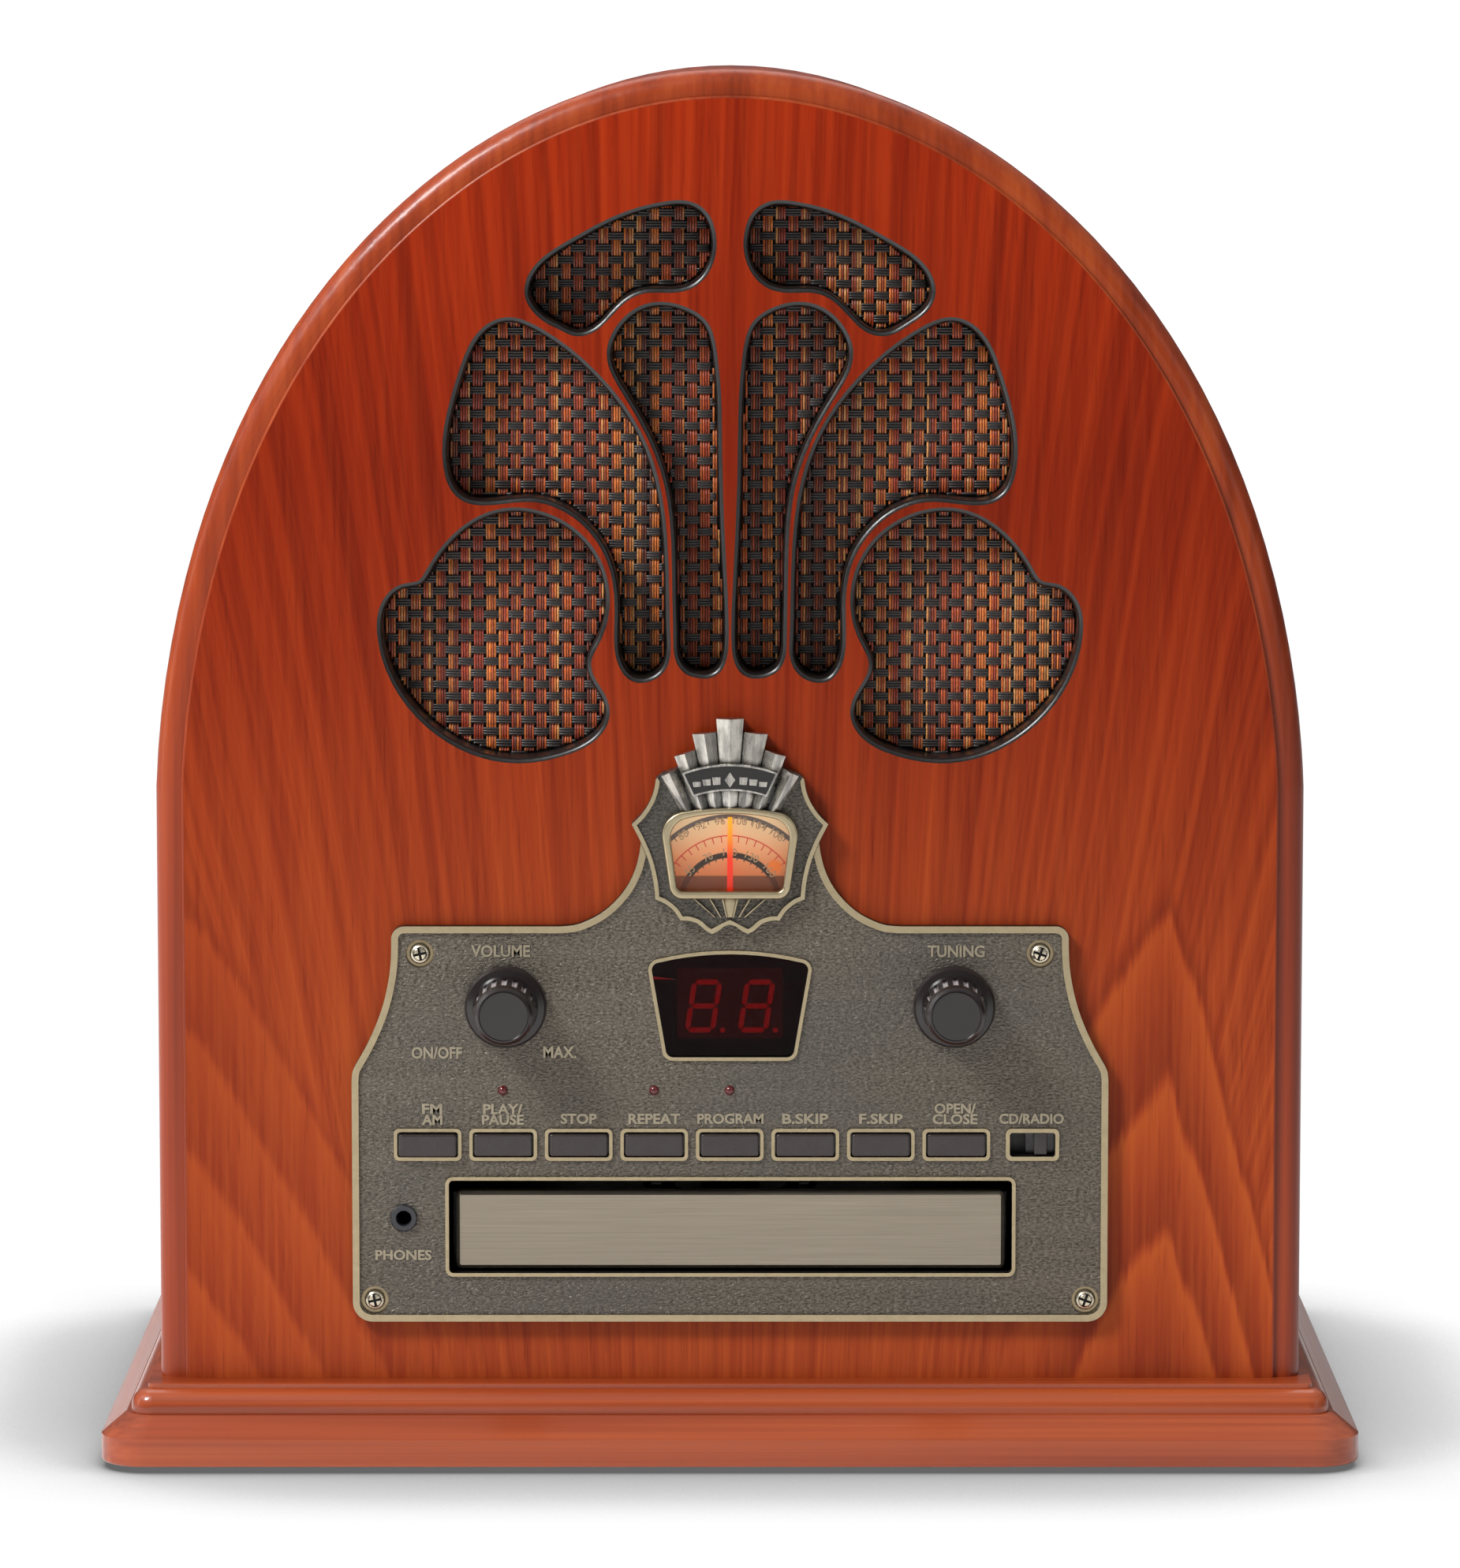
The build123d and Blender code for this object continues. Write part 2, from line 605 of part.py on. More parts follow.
bezel_out = bezel_face(14.1, 17.0, 138.04, 157.8, 160.12, 3.2, 5.6)
bezel_in = bezel_face(12.65, 14.75, 139.8, 156.35, 158.68, 1.7, 4.8)
lens_face = bezel_face(13.4, 16.05, 138.9, 157.1, 159.35, 2.4, 5.1)
save("dial_lens", prism(lens_face, field_y, field_y + 1.3))

# (x, z) down the right side of the stepped fan behind the rays
fan_half = [(3.1, 181.2), (3.1, 177.9), (8.75, 177.45), (8.3, 173.65), (13.0, 172.15),
            (12.5, 169.2), (16.15, 167.4), (10.6, 157.6)]
fan_back = poly([(-x, z) for x, z in fan_half] + list(reversed(fan_half)))
# area under the rays kept clear of the rim
fan_clear = poly([(-17.4, 167.2), (-11.2, 157.4), (11.2, 157.4), (17.4, 167.2),
                  (17.4, 174), (-17.4, 174)])
shield = prism(shield_out, field_y, front) + prism(fan_back, field_y, front)
shield = shield - box(-30, 30, plate_front, front + 1, 120, 154.1)
shield = shield - box(-16.8, 16.8, plate_front, front + 1, 150, 159.3)
shield = shield - prism(lens_face, front - 6, plate_front)
shield_rim = prism(shield_out, field_y - 1.0, field_y) \
    - prism(poly(shield_outline(1.0)), field_y - 2, field_y + 1)
shield_rim = shield_rim - prism(fan_clear, front - 7, front - 3)
# only the main piece of the rim is wanted, without the scraps above the fan
shield = shield + max(shield_rim.solids(), key=lambda solid: solid.volume)
save("escutcheon", shield)

# ------------------------------------------------------------ sunburst crest
# (x, z) of the rays: outer left, outer right, inner right, inner left; the
# middle one and those to its right
right_rays = [
    ((-3.3, 181.45), (3.3, 181.45), (1.55, 158.6), (-1.55, 158.6)),
    ((3.45, 178.25), (9.05, 177.75), (4.6, 158.4), (1.75, 158.6)),
    ((8.45, 173.95), (13.35, 172.4), (7.9, 158.0), (4.8, 158.3)),
    ((12.75, 169.5), (16.5, 167.6), (10.9, 157.6), (8.3, 158.0)),
]
rays = [right_rays[0]]
for ray in right_rays[1:]:
    rays.append(ray)
    rays.append(tuple((-x, z) for x, z in (ray[1], ray[0], ray[3], ray[2])))
eaves_y = front - 5.4      # where a ray's sloping top begins
ridge_y = front - 7.3      # ridge at a ray's outer end


def ray_solid(ray):
    """A straight-sided ray with a gabled top, lower at its narrow inner end."""
    bottom = [(x, field_y, z) for x, z in ray]
    top = [(x, eaves_y, z) for x, z in ray]
    walls = [[bottom[i], bottom[(i + 1) % 4], top[(i + 1) % 4], top[i]] for i in range(4)]
    body = faceted([bottom, top] + walls)
    (x0, z0), (x1, z1), (x2, z2), (x3, z3) = ray
    inner_ridge_y = eaves_y + (ridge_y - eaves_y) * abs(x2 - x3) / abs(x1 - x0)
    outer = ((x0 + x1) / 2, ridge_y, (z0 + z1) / 2)
    inner = ((x2 + x3) / 2, inner_ridge_y, (z2 + z3) / 2)
    a0, a1, b1, b0 = top
    gable = faceted([
        [a0, a1, b1, b0], [a0, b0, inner], [a0, inner, outer], [a1, b1, inner],
        [a1, inner, outer], [a0, a1, outer], [b0, b1, inner]])
    return body + gable


def arched_strip(top_x, top_z, top_crown, low_x, low_z, low_crown):
    return edge_face([
        ThreePointArc((-top_x, top_z), (0, top_crown), (top_x, top_z)),
        Line((top_x, top_z), (low_x, low_z)),
        ThreePointArc((low_x, low_z), (0, low_crown), (-low_x, low_z)),
        Line((-low_x, low_z), (-top_x, top_z))])


plaque_out = arched_strip(11.55, 168.7, 170.85, 8.85, 162.97, 164.44)
band_face = arched_strip(12.2, 164.6, 166.3, 10.8, 160.7, 162.0)

crest = ray_solid(rays[0])
for ray in rays[1:]:
    crest = crest + ray_solid(ray)
crest = crest - prism(plaque_out, front - 12, eaves_y)
crest = crest - prism(bezel_out, front - 12, front - 3)
# arched band that ties the rays together below the plaque
crest = crest + (prism(band_face, front - 4.9, field_y)
                 - prism(bezel_out, front - 12, front - 3))
save("sunburst_crest", crest)

# --------------------------------------------------------- bezel and plaque
bezel = prism(bezel_out, front - 7.0, field_y) - prism(bezel_in, front - 8, front)
bezel = fillet(front_edges(bezel, front - 7.0), 0.6)
# fan of ribs below the window: x of each at its top and at its foot
rib_top_z, rib_foot_z = 138.6, 133.3
for top_x, foot_x in ((-9.3, -3.45), (-5.2, -2.1), (-1.9, -0.75),
                      (1.9, 0.75), (5.2, 2.1), (9.3, 3.45)):
    rib = poly([(top_x - 0.24, rib_top_z), (top_x + 0.24, rib_top_z),
                (foot_x + 0.16, rib_foot_z), (foot_x - 0.16, rib_foot_z)])
    bezel = bezel + prism(rib, front - 5.0, field_y)
rib_web = poly([(-1.9, rib_top_z), (1.9, rib_top_z), (0.75, rib_foot_z), (-0.75, rib_foot_z)])
bezel = bezel + prism(rib_web, front - 4.6, field_y)
save("dial_bezel", bezel)

plaque_floor = front - 8.0
plaque = prism(plaque_out, front - 8.4, eaves_y) \
    - prism(offset(plaque_out, amount=-0.5), front - 9, plaque_floor)
lozenge = poly([(-1.25, 167.05), (0, 165.2), (1.25, 167.05), (0, 168.9)])
plaque = plaque + prism(lozenge, front - 8.35, plaque_floor)
for side in (-1, 1):
    for k, half_h in enumerate((0.9, 0.75, 0.6)):    # bars shrinking outwards
        x = 2.3 + 2.35 * k
        z = 167.0 - 0.0125 * (x + 1) ** 2 * 1.2
        bar = [(side * x, z - half_h), (side * (x + 1.7), z - half_h - 0.12),
               (side * (x + 1.95), z + half_h - 0.12), (side * x, z + half_h)]
        plaque = plaque + prism(poly(bar[::side]), front - 8.3, plaque_floor)
save("crest_plaque", plaque)

# ------------------------------------------------- scale, pointer and drive
scale = prism(rounded(-18.6, 18.6, 131.6, 160.6, 3.0), front, front + 0.8) \
    - rod_y(0, pivot_z, 1.9, front - 1, front + 2)
save("dial_scale", scale)

needle = poly([(-0.75, pivot_z), (0.75, pivot_z), (0.55, 157.3), (-0.55, 157.3)])
pointer = prism(needle, front - 1.8, front - 1.3)
pointer = pointer + rod_y(0, pivot_z, 2.1, front - 2.2, front - 0.5) \
    + rod_y(0, pivot_z, 1.2, front - 0.6, front + 37)
save("dial_pointer", pointer)

drum_r = 20.0              # groove radius
flange_r = drum_r + 0.7
drum = turned([(1.2, 13.9), (4.5, 13.9), (4.5, 14.6), (flange_r, 14.6), (flange_r, 15.0),
               (drum_r, 15.1), (drum_r, 16.5), (flange_r, 16.6), (flange_r, 17.0),
               (4.5, 17.0), (4.5, 20.5), (1.2, 20.5)], 0, pivot_z, front)
for k in range(4):
    x, z = around(0, pivot_z, 12, 45 + 90 * k)
    drum = drum - rod_y(x, z, 4.4, front + 13, front + 18)
save("pointer_drum", drum)


def belt_face(drum_radius, shaft_radius):
    """Area within a belt round the drum and the tuning shaft."""
    dx, dz = knob_x, knob_z - pivot_z
    distance = math.hypot(dx, dz)
    ux, uz = dx / distance, dz / distance
    sine = (drum_radius - shaft_radius) / distance
    cosine = math.sqrt(1 - sine * sine)
    tangents = []
    for sign in (1, -1):
        nx, nz = sine * ux - sign * cosine * uz, sine * uz + sign * cosine * ux
        tangents.append(((drum_radius * nx, pivot_z + drum_radius * nz),
                         (knob_x + shaft_radius * nx, knob_z + shaft_radius * nz)))
    (drum_a, shaft_a), (drum_b, shaft_b) = tangents
    shaft_end = (knob_x + shaft_radius * ux, knob_z + shaft_radius * uz)
    drum_end = (-drum_radius * ux, pivot_z - drum_radius * uz)
    return edge_face([Line(drum_a, shaft_a), ThreePointArc(shaft_a, shaft_end, shaft_b),
                      Line(shaft_b, drum_b), ThreePointArc(drum_b, drum_end, drum_a)])


dial_cord = prism(belt_face(drum_r + 0.65, shaft_r + 0.65), front + 15.45, front + 16.05) \
    - prism(belt_face(drum_r + 0.05, shaft_r + 0.05), front + 15, front + 17)
save("dial_cord", dial_cord)

bracket_back = panel_back + 1.2
capacitor_front = front + 22
bracket = prism(poly([(-30, 118), (-30, 160.8), (30, 160.8), (66, 124), (66, 101), (40, 101),
                      (20, 112)]), panel_back, bracket_back)
bracket = bracket - prism(rounded(-16.5, 16.5, 139.5, 158.5, 1.5), front + 10, front + 15)
for x, z in ((-24, 150), (24, 150), (-24, 122), (24, 122)):
    bracket = bracket + rod_y(x, z, 2.0, bracket_back, capacitor_front)
bracket = bracket + rod_y(knob_x, knob_z, 5.2, front + 9.9, bracket_back)
bracket = bracket - rod_y(knob_x, knob_z, shaft_r + 0.05, front + 9, front + 14) \
    - rod_y(0, pivot_z, 1.25, front + 10, front + 15)
save("dial_bracket", bracket)

bulb_x, bulb_z, bulb_r = 9, 155.6, 2.2
lamp = box(-15, 15, front + 10.4, panel_back, 159.3, 160.9) \
    + box(-15, 15, front + 8.8, front + 10.4, 152.6, 160.9)
for x in (-bulb_x, bulb_x):
    lamp = lamp + rod_y(x, bulb_z, bulb_r, front + 5.5, front + 8.8) \
        + Pos(x, front + 5.5, bulb_z) * Sphere(bulb_r)
save("dial_lamp", lamp)

capacitor = box(-27, 27, capacitor_front, front + 40, 118, 154)
capacitor = fillet(capacitor.edges().filter_by(Axis.Y), 2.0)
capacitor = capacitor - rod_y(0, pivot_z, 1.25, front + 21, front + 39)
for k in range(5):
    gap_y = front + 25 + 2.8 * k
    capacitor = capacitor - box(-23, 23, gap_y, gap_y + 1.4, 145, 156)
save("tuning_capacitor", capacitor)

# -------------------------------------------------------------------- knobs
knob_tip = -20.0           # knob face, measured from the panel face
skirt_r = 9.95
bore_end = -14.0           # blind end of the shaft bore
# (radius, distance behind the panel face)
knob_profile = [
    (0, knob_tip + 0.35), (5.75, knob_tip + 0.35), (5.95, knob_tip), (6.25, knob_tip + 0.05),
    (6.95, knob_tip + 0.8), (7.25, knob_tip + 2.2), (7.55, -7.6), (7.9, -5.6), (9.3, -5.2),
    (9.8, -4.6), (skirt_r, -3.6), (skirt_r, -2.9), (shaft_r, -2.9), (shaft_r, bore_end),
    (0, bore_end)]
flute_count, flute_ring, flute_r = 18, 8.05, 0.85
flute_front, flute_back = front - 16.6, front - 7.6


def knob(x, z):
    body = turned(knob_profile, x, z, front)
    for k in range(flute_count):
        fx, fz = around(x, z, flute_ring, 20 * k + 10)
        body = body - (rod_y(fx, fz, flute_r, flute_front, flute_back)
                       + Pos(fx, flute_front, fz) * Sphere(flute_r))
    return body


save("volume_knob", knob(-knob_x, knob_z)
     + rod_y(-knob_x, knob_z, shaft_r, front + bore_end, front + 6.0))
save("tuning_knob", knob(knob_x, knob_z))

# plain shaft, with two collars either side of the dial cord
shaft = turned([(0, bore_end), (shaft_r, bore_end), (shaft_r, 22.0), (0, 22.0)],
               knob_x, knob_z, front)
for collar in ([(shaft_r, 13.7), (5.0, 13.7), (5.0, 14.5), (shaft_r, 14.9)],
               [(shaft_r, 16.8), (5.0, 17.2), (5.0, 18.0), (shaft_r, 18.0)]):
    shaft = shaft + turned(collar, knob_x, knob_z, front)
save("tuning_shaft", shaft)

volume_control = rod_y(-knob_x, knob_z, 8.2, front + 1.5, board_front) \
    + rod_y(-knob_x, knob_z, 4.6, front, front + 1.5)
volume_control = volume_control - rod_y(-knob_x, knob_z, shaft_r + 0.05, front - 1, front + 6.4)
volume_control = volume_control - box(-70, -40, front + 1, board_front + 1, 100, 104.4)
save("volume_control", volume_control)

# ------------------------------------------------- display, indicators, board
save("display_window", prism(display_in, front - 1.8, front - 0.3))

digit_x, digit_z = 6.4, 111.0
digit_half_w, digit_half_h = 3.05, 5.85
bar_half = 1.25 / 2
bar_gap = 0.2
slant = math.tan(math.radians(8.7))
digit_faces = (front + 0.85, front + 1.0)


def digit_bar(cx, x0, z0, x1, z1):
    """One bar of a slanted seven-segment digit, pointed ends."""
    if z0 == z1:
        start, end = x0 + bar_gap, x1 - bar_gap
        points = [(start, z0), (start + bar_half, z0 - bar_half), (end - bar_half, z0 - bar_half),
                  (end, z0), (end - bar_half, z0 + bar_half), (start + bar_half, z0 + bar_half)]
    else:
        start, end = z0 + bar_gap, z1 - bar_gap
        points = [(x0, start), (x0 + bar_half, start + bar_half), (x0 + bar_half, end - bar_half),
                  (x0, end), (x0 - bar_half, end - bar_half), (x0 - bar_half, start + bar_half)]
    return poly([(cx + x + slant * z, digit_z + z) for x, z in points])


module = box(-12.75, 12.75, front + 1.0, board_front, 103.2, 119.3)
# bars of a digit, in half widths and half heights: x, z from; x, z to
digit_bars = [(-1, 1, 1, 1), (-1, 0, 1, 0), (-1, -1, 1, -1), (-1, 0, -1, 1), (1, 0, 1, 1),
              (-1, -1, -1, 0), (1, -1, 1, 0)]
for cx in (-digit_x, digit_x):
    for x0, z0, x1, z1 in digit_bars:
        bar = digit_bar(cx, x0 * digit_half_w, z0 * digit_half_h,
                        x1 * digit_half_w, z1 * digit_half_h)
        module = module + prism(bar, *digit_faces)
    module = module + rod_y(cx + 4.6, 105.1, 0.62, *digit_faces)
save("display_module", module)

leds = []
for x, z in led_points:
    dome = Pos(x, front - 2.3, z) * Sphere(1.2) \
        & box(x - 2, x + 2, front - 4, front - 2.3, z - 2, z + 2)
    leds.append(rod_y(x, z, 1.2, front - 2.6, board_front) + dome)
save("indicator_leds", *leds)

board = prism(rounded(-80.6, 80.6, 72.2, 116.3, 1.5), board_front, board_back)
board = board - rod_y(knob_x, knob_z, 5.6, front + 7, front + 11)
for x, z in board_posts:
    board = board + rod_y(x, z, 2.6, board_back, board_back + 1.2)
# blocks on the back of the board: x from, x to, z from, z to
for x0, x1, z0, z1 in ((-30, -14, 84, 96), (6, 14, 86, 94), (30, 36, 84, 98),
                       (-44, -38, 86, 94), (20, 25, 96, 100)):
    board = board + box(x0, x1, board_back, board_back + 1.8, z0, z1)
save("control_board", board)

# ----------------------------------------------------- buttons and selector
button_w, button_h = 13.9, 5.4
button_names = ["band", "play", "stop", "repeat", "program", "skip_back", "skip_forward", "open"]
switches = []
for name, x in zip(button_names, buttons_x):
    # the band button stands further out, over a larger switch
    is_band = name == "band"
    cap_front = front - (4.9 if is_band else 4.1)
    stem_end = front + (2.4 if is_band else 3.0)
    cap = prism(rounded_about(x, button_z, button_w / 2, button_h / 2, 0.6), cap_front, front)
    cap = fillet(front_edges(cap, cap_front), 0.45)
    cap = cap + prism(rounded_about(x, button_z, 7.75, 3.6, 0.6), front, front + 1.0)
    cap = cap + rod_y(x, button_z, 1.4, front + 1.0, stem_end)
    save(name + "_button", cap)
    half = 4.2 if is_band else 3
    switch_front = front + (5.1 if is_band else 4.45)
    switch = box(x - half, x + half, switch_front, board_front, button_z - half, button_z + half)
    if not is_band:
        switch = switch + rod_y(x, button_z, 1.7, front + 4.3, switch_front)
    switches.append(switch)
save("button_switches", *switches)

save("selector_switch", box(switch_x - 6.25, switch_x + 6.25, front + 3.2, board_front,
                            button_z - 3.4, button_z + 3.4))
slider_x = switch_x + 2.0
slider_front = front - 1.8
slider = prism(rounded_about(slider_x, button_z, 1.58, 2.75, 0.3), slider_front, front + 1.4)
slider = fillet(front_edges(slider, slider_front), 0.25)
slider = slider + box(slider_x - 3.5, slider_x + 3.5, front + 1.4, front + 3.15,
                      button_z - 2.7, button_z + 2.7)
save("selector_slider", slider)

jack_bore = 1.75
jack = turned([(jack_bore, -3.2), (1.95, -3.5), (3.0, -3.5), (3.28, -3.2), (3.28, -plate_t),
               (2.8, -plate_t), (2.8, 0), (jack_bore, 0)], jack_x, jack_z, front)
jack = jack + (box(jack_x - 4.6, jack_x + 4.6, front, front + 14, jack_z - 4.6, jack_z + 4.6)
               - rod_y(jack_x, jack_z, jack_bore, front - 1, front + 12.5))
save("headphone_jack", jack)

# ------------------------------------------------------- disc door and tray
door_w, door_z0, door_z1 = 132.9, 46.95, 65.9
tray_y0, tray_y1 = front + 3.0, front + 153.0
tray_half = 64
tray_z0, tray_z1 = 54, 58

door = prism(rounded(slot_x - door_w / 2, slot_x + door_w / 2, door_z0, door_z1, 1.3),
             front - 1.0, tray_y0)
door = chamfer(front_edges(door, front - 1.0), 0.9)
save("cd_tray_door", door)

tray = box(-tray_half, tray_half, tray_y0, tray_y1, tray_z0, tray_z1)
for side in (-1, 1):
    tray = tray + side_box(side, 62, tray_half, tray_y0, tray_y1, tray_z1, 59.4)
tray = tray + box(-tray_half, tray_half, tray_y0, tray_y0 + 2.0, 50, 63)
tray = tray - rod_z(0, disc_y, 60.5, 56.2, 60)
tray = tray - rod_z(0, disc_y, 22.0, 53, 60) - box(-20, 20, disc_y, tray_y1 + 1, 53, 60)

# rack along the left underside, teeth towards +X, and the gear that drives it
gear_module = 1.0
tooth_pitch = math.pi * gear_module
tooth_w = tooth_pitch / 2 - 0.13         # with running clearance
addendum, dedendum = 0.97 * gear_module, 1.25 * gear_module
pressure_angle = math.radians(20)
gear_teeth = 20
gear_r = gear_module * gear_teeth / 2
rack_x, rack_back_x = -54.0, -60.0       # pitch line and back edge of the rack
gear_x, gear_y = rack_x + gear_r, front + 22.0

root_x, tip_x = rack_x - dedendum, rack_x + addendum
root_half = tooth_w / 2 + dedendum * math.tan(pressure_angle)
tip_half = tooth_w / 2 - addendum * math.tan(pressure_angle)
first_tooth = math.ceil((tray_y0 + 3.5 - gear_y) / tooth_pitch - 0.5)
last_tooth = math.floor((tray_y1 - 1.5 - gear_y) / tooth_pitch - 0.5)
rack = [(rack_back_x, tray_y0 + 2.0), (root_x, tray_y0 + 2.0)]
for k in range(first_tooth, last_tooth + 1):
    y = gear_y + (k + 0.5) * tooth_pitch
    rack += [(root_x, y - root_half), (tip_x, y - tip_half),
             (tip_x, y + tip_half), (root_x, y + root_half)]
rack += [(root_x, tray_y1), (rack_back_x, tray_y1)]
tray = tray + slab(poly(rack), 50.4, tray_z0)
save("cd_tray", tray)

base_circle_r = gear_r * math.cos(pressure_angle)


def involute(radius):
    """Angle the involute flank has swept at a radius."""
    if radius <= base_circle_r:
        return 0.0
    angle = math.acos(base_circle_r / radius)
    return math.tan(angle) - angle


base_half = tooth_w / 2 / gear_r + involute(gear_r)    # half tooth angle at the base circle
flank_radii = [gear_r - dedendum] + [
    base_circle_r + (gear_r + addendum - base_circle_r) * step / 5 for step in range(6)]
flank = [(radius, base_half - involute(radius)) for radius in flank_radii]
gear_points = []
for k in range(gear_teeth):
    centre = 180 + 360 * k / gear_teeth
    for radius, half in flank:
        gear_points.append(around(gear_x, gear_y, radius, centre - math.degrees(half)))
    for radius, half in reversed(flank):
        gear_points.append(around(gear_x, gear_y, radius, centre + math.degrees(half)))
save("cd_loading_gear",
     slab(poly(gear_points), 50.6, 53.4) - rod_z(gear_x, gear_y, 2.05, 50, 54))

# -------------------------------------------------------------- disc chassis
chassis_y0, chassis_y1 = front + 13.0, front + 162.0
chassis_half = 67.5
wall_top = 63.5
hinge_y, hinge_z = disc_y + 70, 50       # axis the traverse swings on

chassis = box(-chassis_half, chassis_half, chassis_y0, chassis_y1, 46, 47.5)
chassis = chassis - box(-29, 29, disc_y - 30, disc_y + 78, 45, 48)
for side in (-1, 1):
    # side wall, lower and upper tray guides, hinge ear: near x, far x, z from, z to
    for near, far, z0, z1 in ((65.6, chassis_half, 47, wall_top), (62, 65.6, 52.2, 53.9),
                              (61.5, 65.6, 59.6, 60.9)):
        chassis = chassis + side_box(side, near, far, chassis_y0, chassis_y1, z0, z1)
    chassis = chassis + side_box(side, 29.3, 32, hinge_y - 4, hinge_y + 4, 47, 53)
    for y in (chassis_y0 + 6, chassis_y1 - 6):
        chassis = chassis + rod_z(side * 64, y, 3.2, base_top, 46.5)
chassis = chassis + box(-chassis_half, chassis_half, chassis_y1 - 2, chassis_y1, 47, wall_top)
chassis = chassis + rod_z(gear_x, gear_y, 2.0, 47, 53.6) + rod_z(gear_x, gear_y, 4.0, 47, 50.4)
for side in (-1, 1):
    x0, x1 = sorted((side * 29.0, side * 32.3))
    chassis = chassis - rod_x(hinge_y, hinge_z, 1.55, x0, x1)
save("cd_chassis", chassis)

bridge = box(-chassis_half, chassis_half, disc_y - 17, disc_y + 17, wall_top, 65.0)
bridge = bridge - rod_z(0, disc_y, 11.0, 63, 66)
for side in (-1, 1):
    bridge = bridge - side_box(side, 26, 52, disc_y - 8, disc_y + 8, 63, 66)
save("cd_clamp_bridge", bridge)

save("cd_clamp", turned_z([
    (0, 60.6), (13.5, 60.6), (14.0, 61.1), (14.0, 62.6), (10.4, 62.6), (10.4, 65.05),
    (14.0, 65.05), (14.0, 66.2), (12.5, 67.0), (0, 67.0)], 0, disc_y))

# --------------------------------------------- traverse, pickup and turntable
rail_x, rail_z = 20, 52.2
traverse = box(-26, 26, disc_y - 22, disc_y + 73, 49, 50.5)
traverse = traverse - box(-15, 15, disc_y + 15.5, disc_y + 64, 48, 51)
traverse = traverse - rod_z(0, disc_y, 1.6, 48, 51)
traverse = traverse + (rod_z(0, disc_y, 11.5, 41, 49) - rod_z(0, disc_y, 1.06, 40, 50))
for side in (-1, 1):
    x0, x1 = sorted((side * 25.9, side * 32.0))
    traverse = traverse + rod_x(hinge_y, hinge_z, 1.5, x0, x1)
    x = side * rail_x
    for y in (disc_y + 14, disc_y + 67):
        traverse = traverse + box(x - 2.5, x + 2.5, y, y + 2.5, 50, 53.6)
    traverse = traverse + rod_y(x, rail_z, 1.2, disc_y + 15, disc_y + 67)
save("cd_traverse", traverse)

sled = box(-23, 23, disc_y + 18, disc_y + 36, 50.9, 53.5)
for side in (-1, 1):
    sled = sled - rod_y(side * rail_x, rail_z, 1.25, disc_y + 17, disc_y + 37)
sled = sled + box(-9, 9, disc_y + 20, disc_y + 34, 45.5, 51) \
    + rod_z(0, disc_y + 24, 3.0, 53, 54.9)
save("cd_pickup_sled", sled)

save("cd_turntable", turned_z([
    (0, 42), (1.0, 42), (1.0, 52.5), (4.0, 52.5), (4.0, 54.6), (14.0, 54.6), (14.0, 56.2),
    (7.4, 56.2), (7.2, 58.2), (5.5, 59.4), (0, 59.4)], 0, disc_y))

# -------------------------------------------------------------- electronics
main_z0, main_z1 = 24, 25.6
main_board = box(-56, 56, -58, 56, main_z0, main_z1)
for x in (-52, 52):
    for y in (-54, 52):
        main_board = main_board + rod_z(x, y, 3.0, base_top, main_z0)
# blocks on the board: x from, x to, y from, y to, top z
for x0, x1, y0, y1, top in ((-50, -36, -30, -4, 27.4), (20, 44, -40, -26, 27.6),
                            (28, 48, 10, 24, 30), (-54, -46, 16, 46, 38)):
    main_board = main_board + box(x0, x1, y0, y1, main_z1, top)
# upright cans: x, y, radius, height
for x, y, radius, height in ((-30, 30, 5, 12), (-42, -44, 4, 9), (38, 40, 5, 12),
                             (48, -6, 4, 8), (40, -12, 3, 7)):
    main_board = main_board + rod_z(x, y, radius, 25, main_z1 + height)
save("main_board", main_board)


def transformer_box(half_w, half_d, z0, z1):
    x, y = 104.0, 40.0
    return box(x - half_w, x + half_w, y - half_d, y + half_d, z0, z1)


transformer = transformer_box(22, 12, base_top + 2, 60)
transformer = fillet(transformer.edges().filter_by(Axis.Y), 1.5)
transformer = transformer + transformer_box(13, 20, 29, 53)
transformer = transformer + transformer_box(26, 10, base_top, base_top + 2)
save("transformer", transformer)


# ------------------------------------------------------- cord and aerial wire
def cord_loop(x, z, width, height, y, radius):
    """Round cord following an upright stadium; height is its straight part."""
    left, right = x - width / 2, x + width / 2
    low, high = z - height / 2, z + height / 2
    edges = [Line((left, low), (left, high)),
             ThreePointArc((left, high), (x, high + width / 2), (right, high)),
             Line((right, high), (right, low)),
             ThreePointArc((right, low), (x, low - width / 2), (left, low))]
    section = Plane(origin=(left, y, z), x_dir=(1, 0, 0), z_dir=(0, 0, 1)) * Circle(radius)
    return sweep(section, path=plane_at(y) * Wire(edges))


hank_x, hank_z = cord_x - 16.0, 92.0     # the cord's coiled hank
tie = box(hank_x - 20.2, hank_x + 20.2, 93.3, 105.0, hank_z - 3.5, hank_z + 3.5)
power_cord = fillet(tie.edges().filter_by(Axis.Z), 3.0)
for k, (width, y) in enumerate(((32.0, 96.3), (20.6, 96.5), (31.0, 102.0), (19.8, 101.8))):
    power_cord = power_cord + cord_loop(hank_x, hank_z - 0.6 * k, width, 56.0, y, 2.6)
power_cord = power_cord + rod_y(cord_x, cord_z, 4.95, 88.5, shell_back + 0.5) \
    + rod_y(cord_x, cord_z, 7.0, shell_back, 95.0)
power_cord = power_cord + rod_y(cord_x, cord_z, 2.3, 62, 96.0)
plug = box(hank_x - 9, hank_x + 9, 94.2, 104.2, 25.5, 46.5)
power_cord = power_cord + fillet(plug.edges().filter_by(Axis.Z), 3.0)
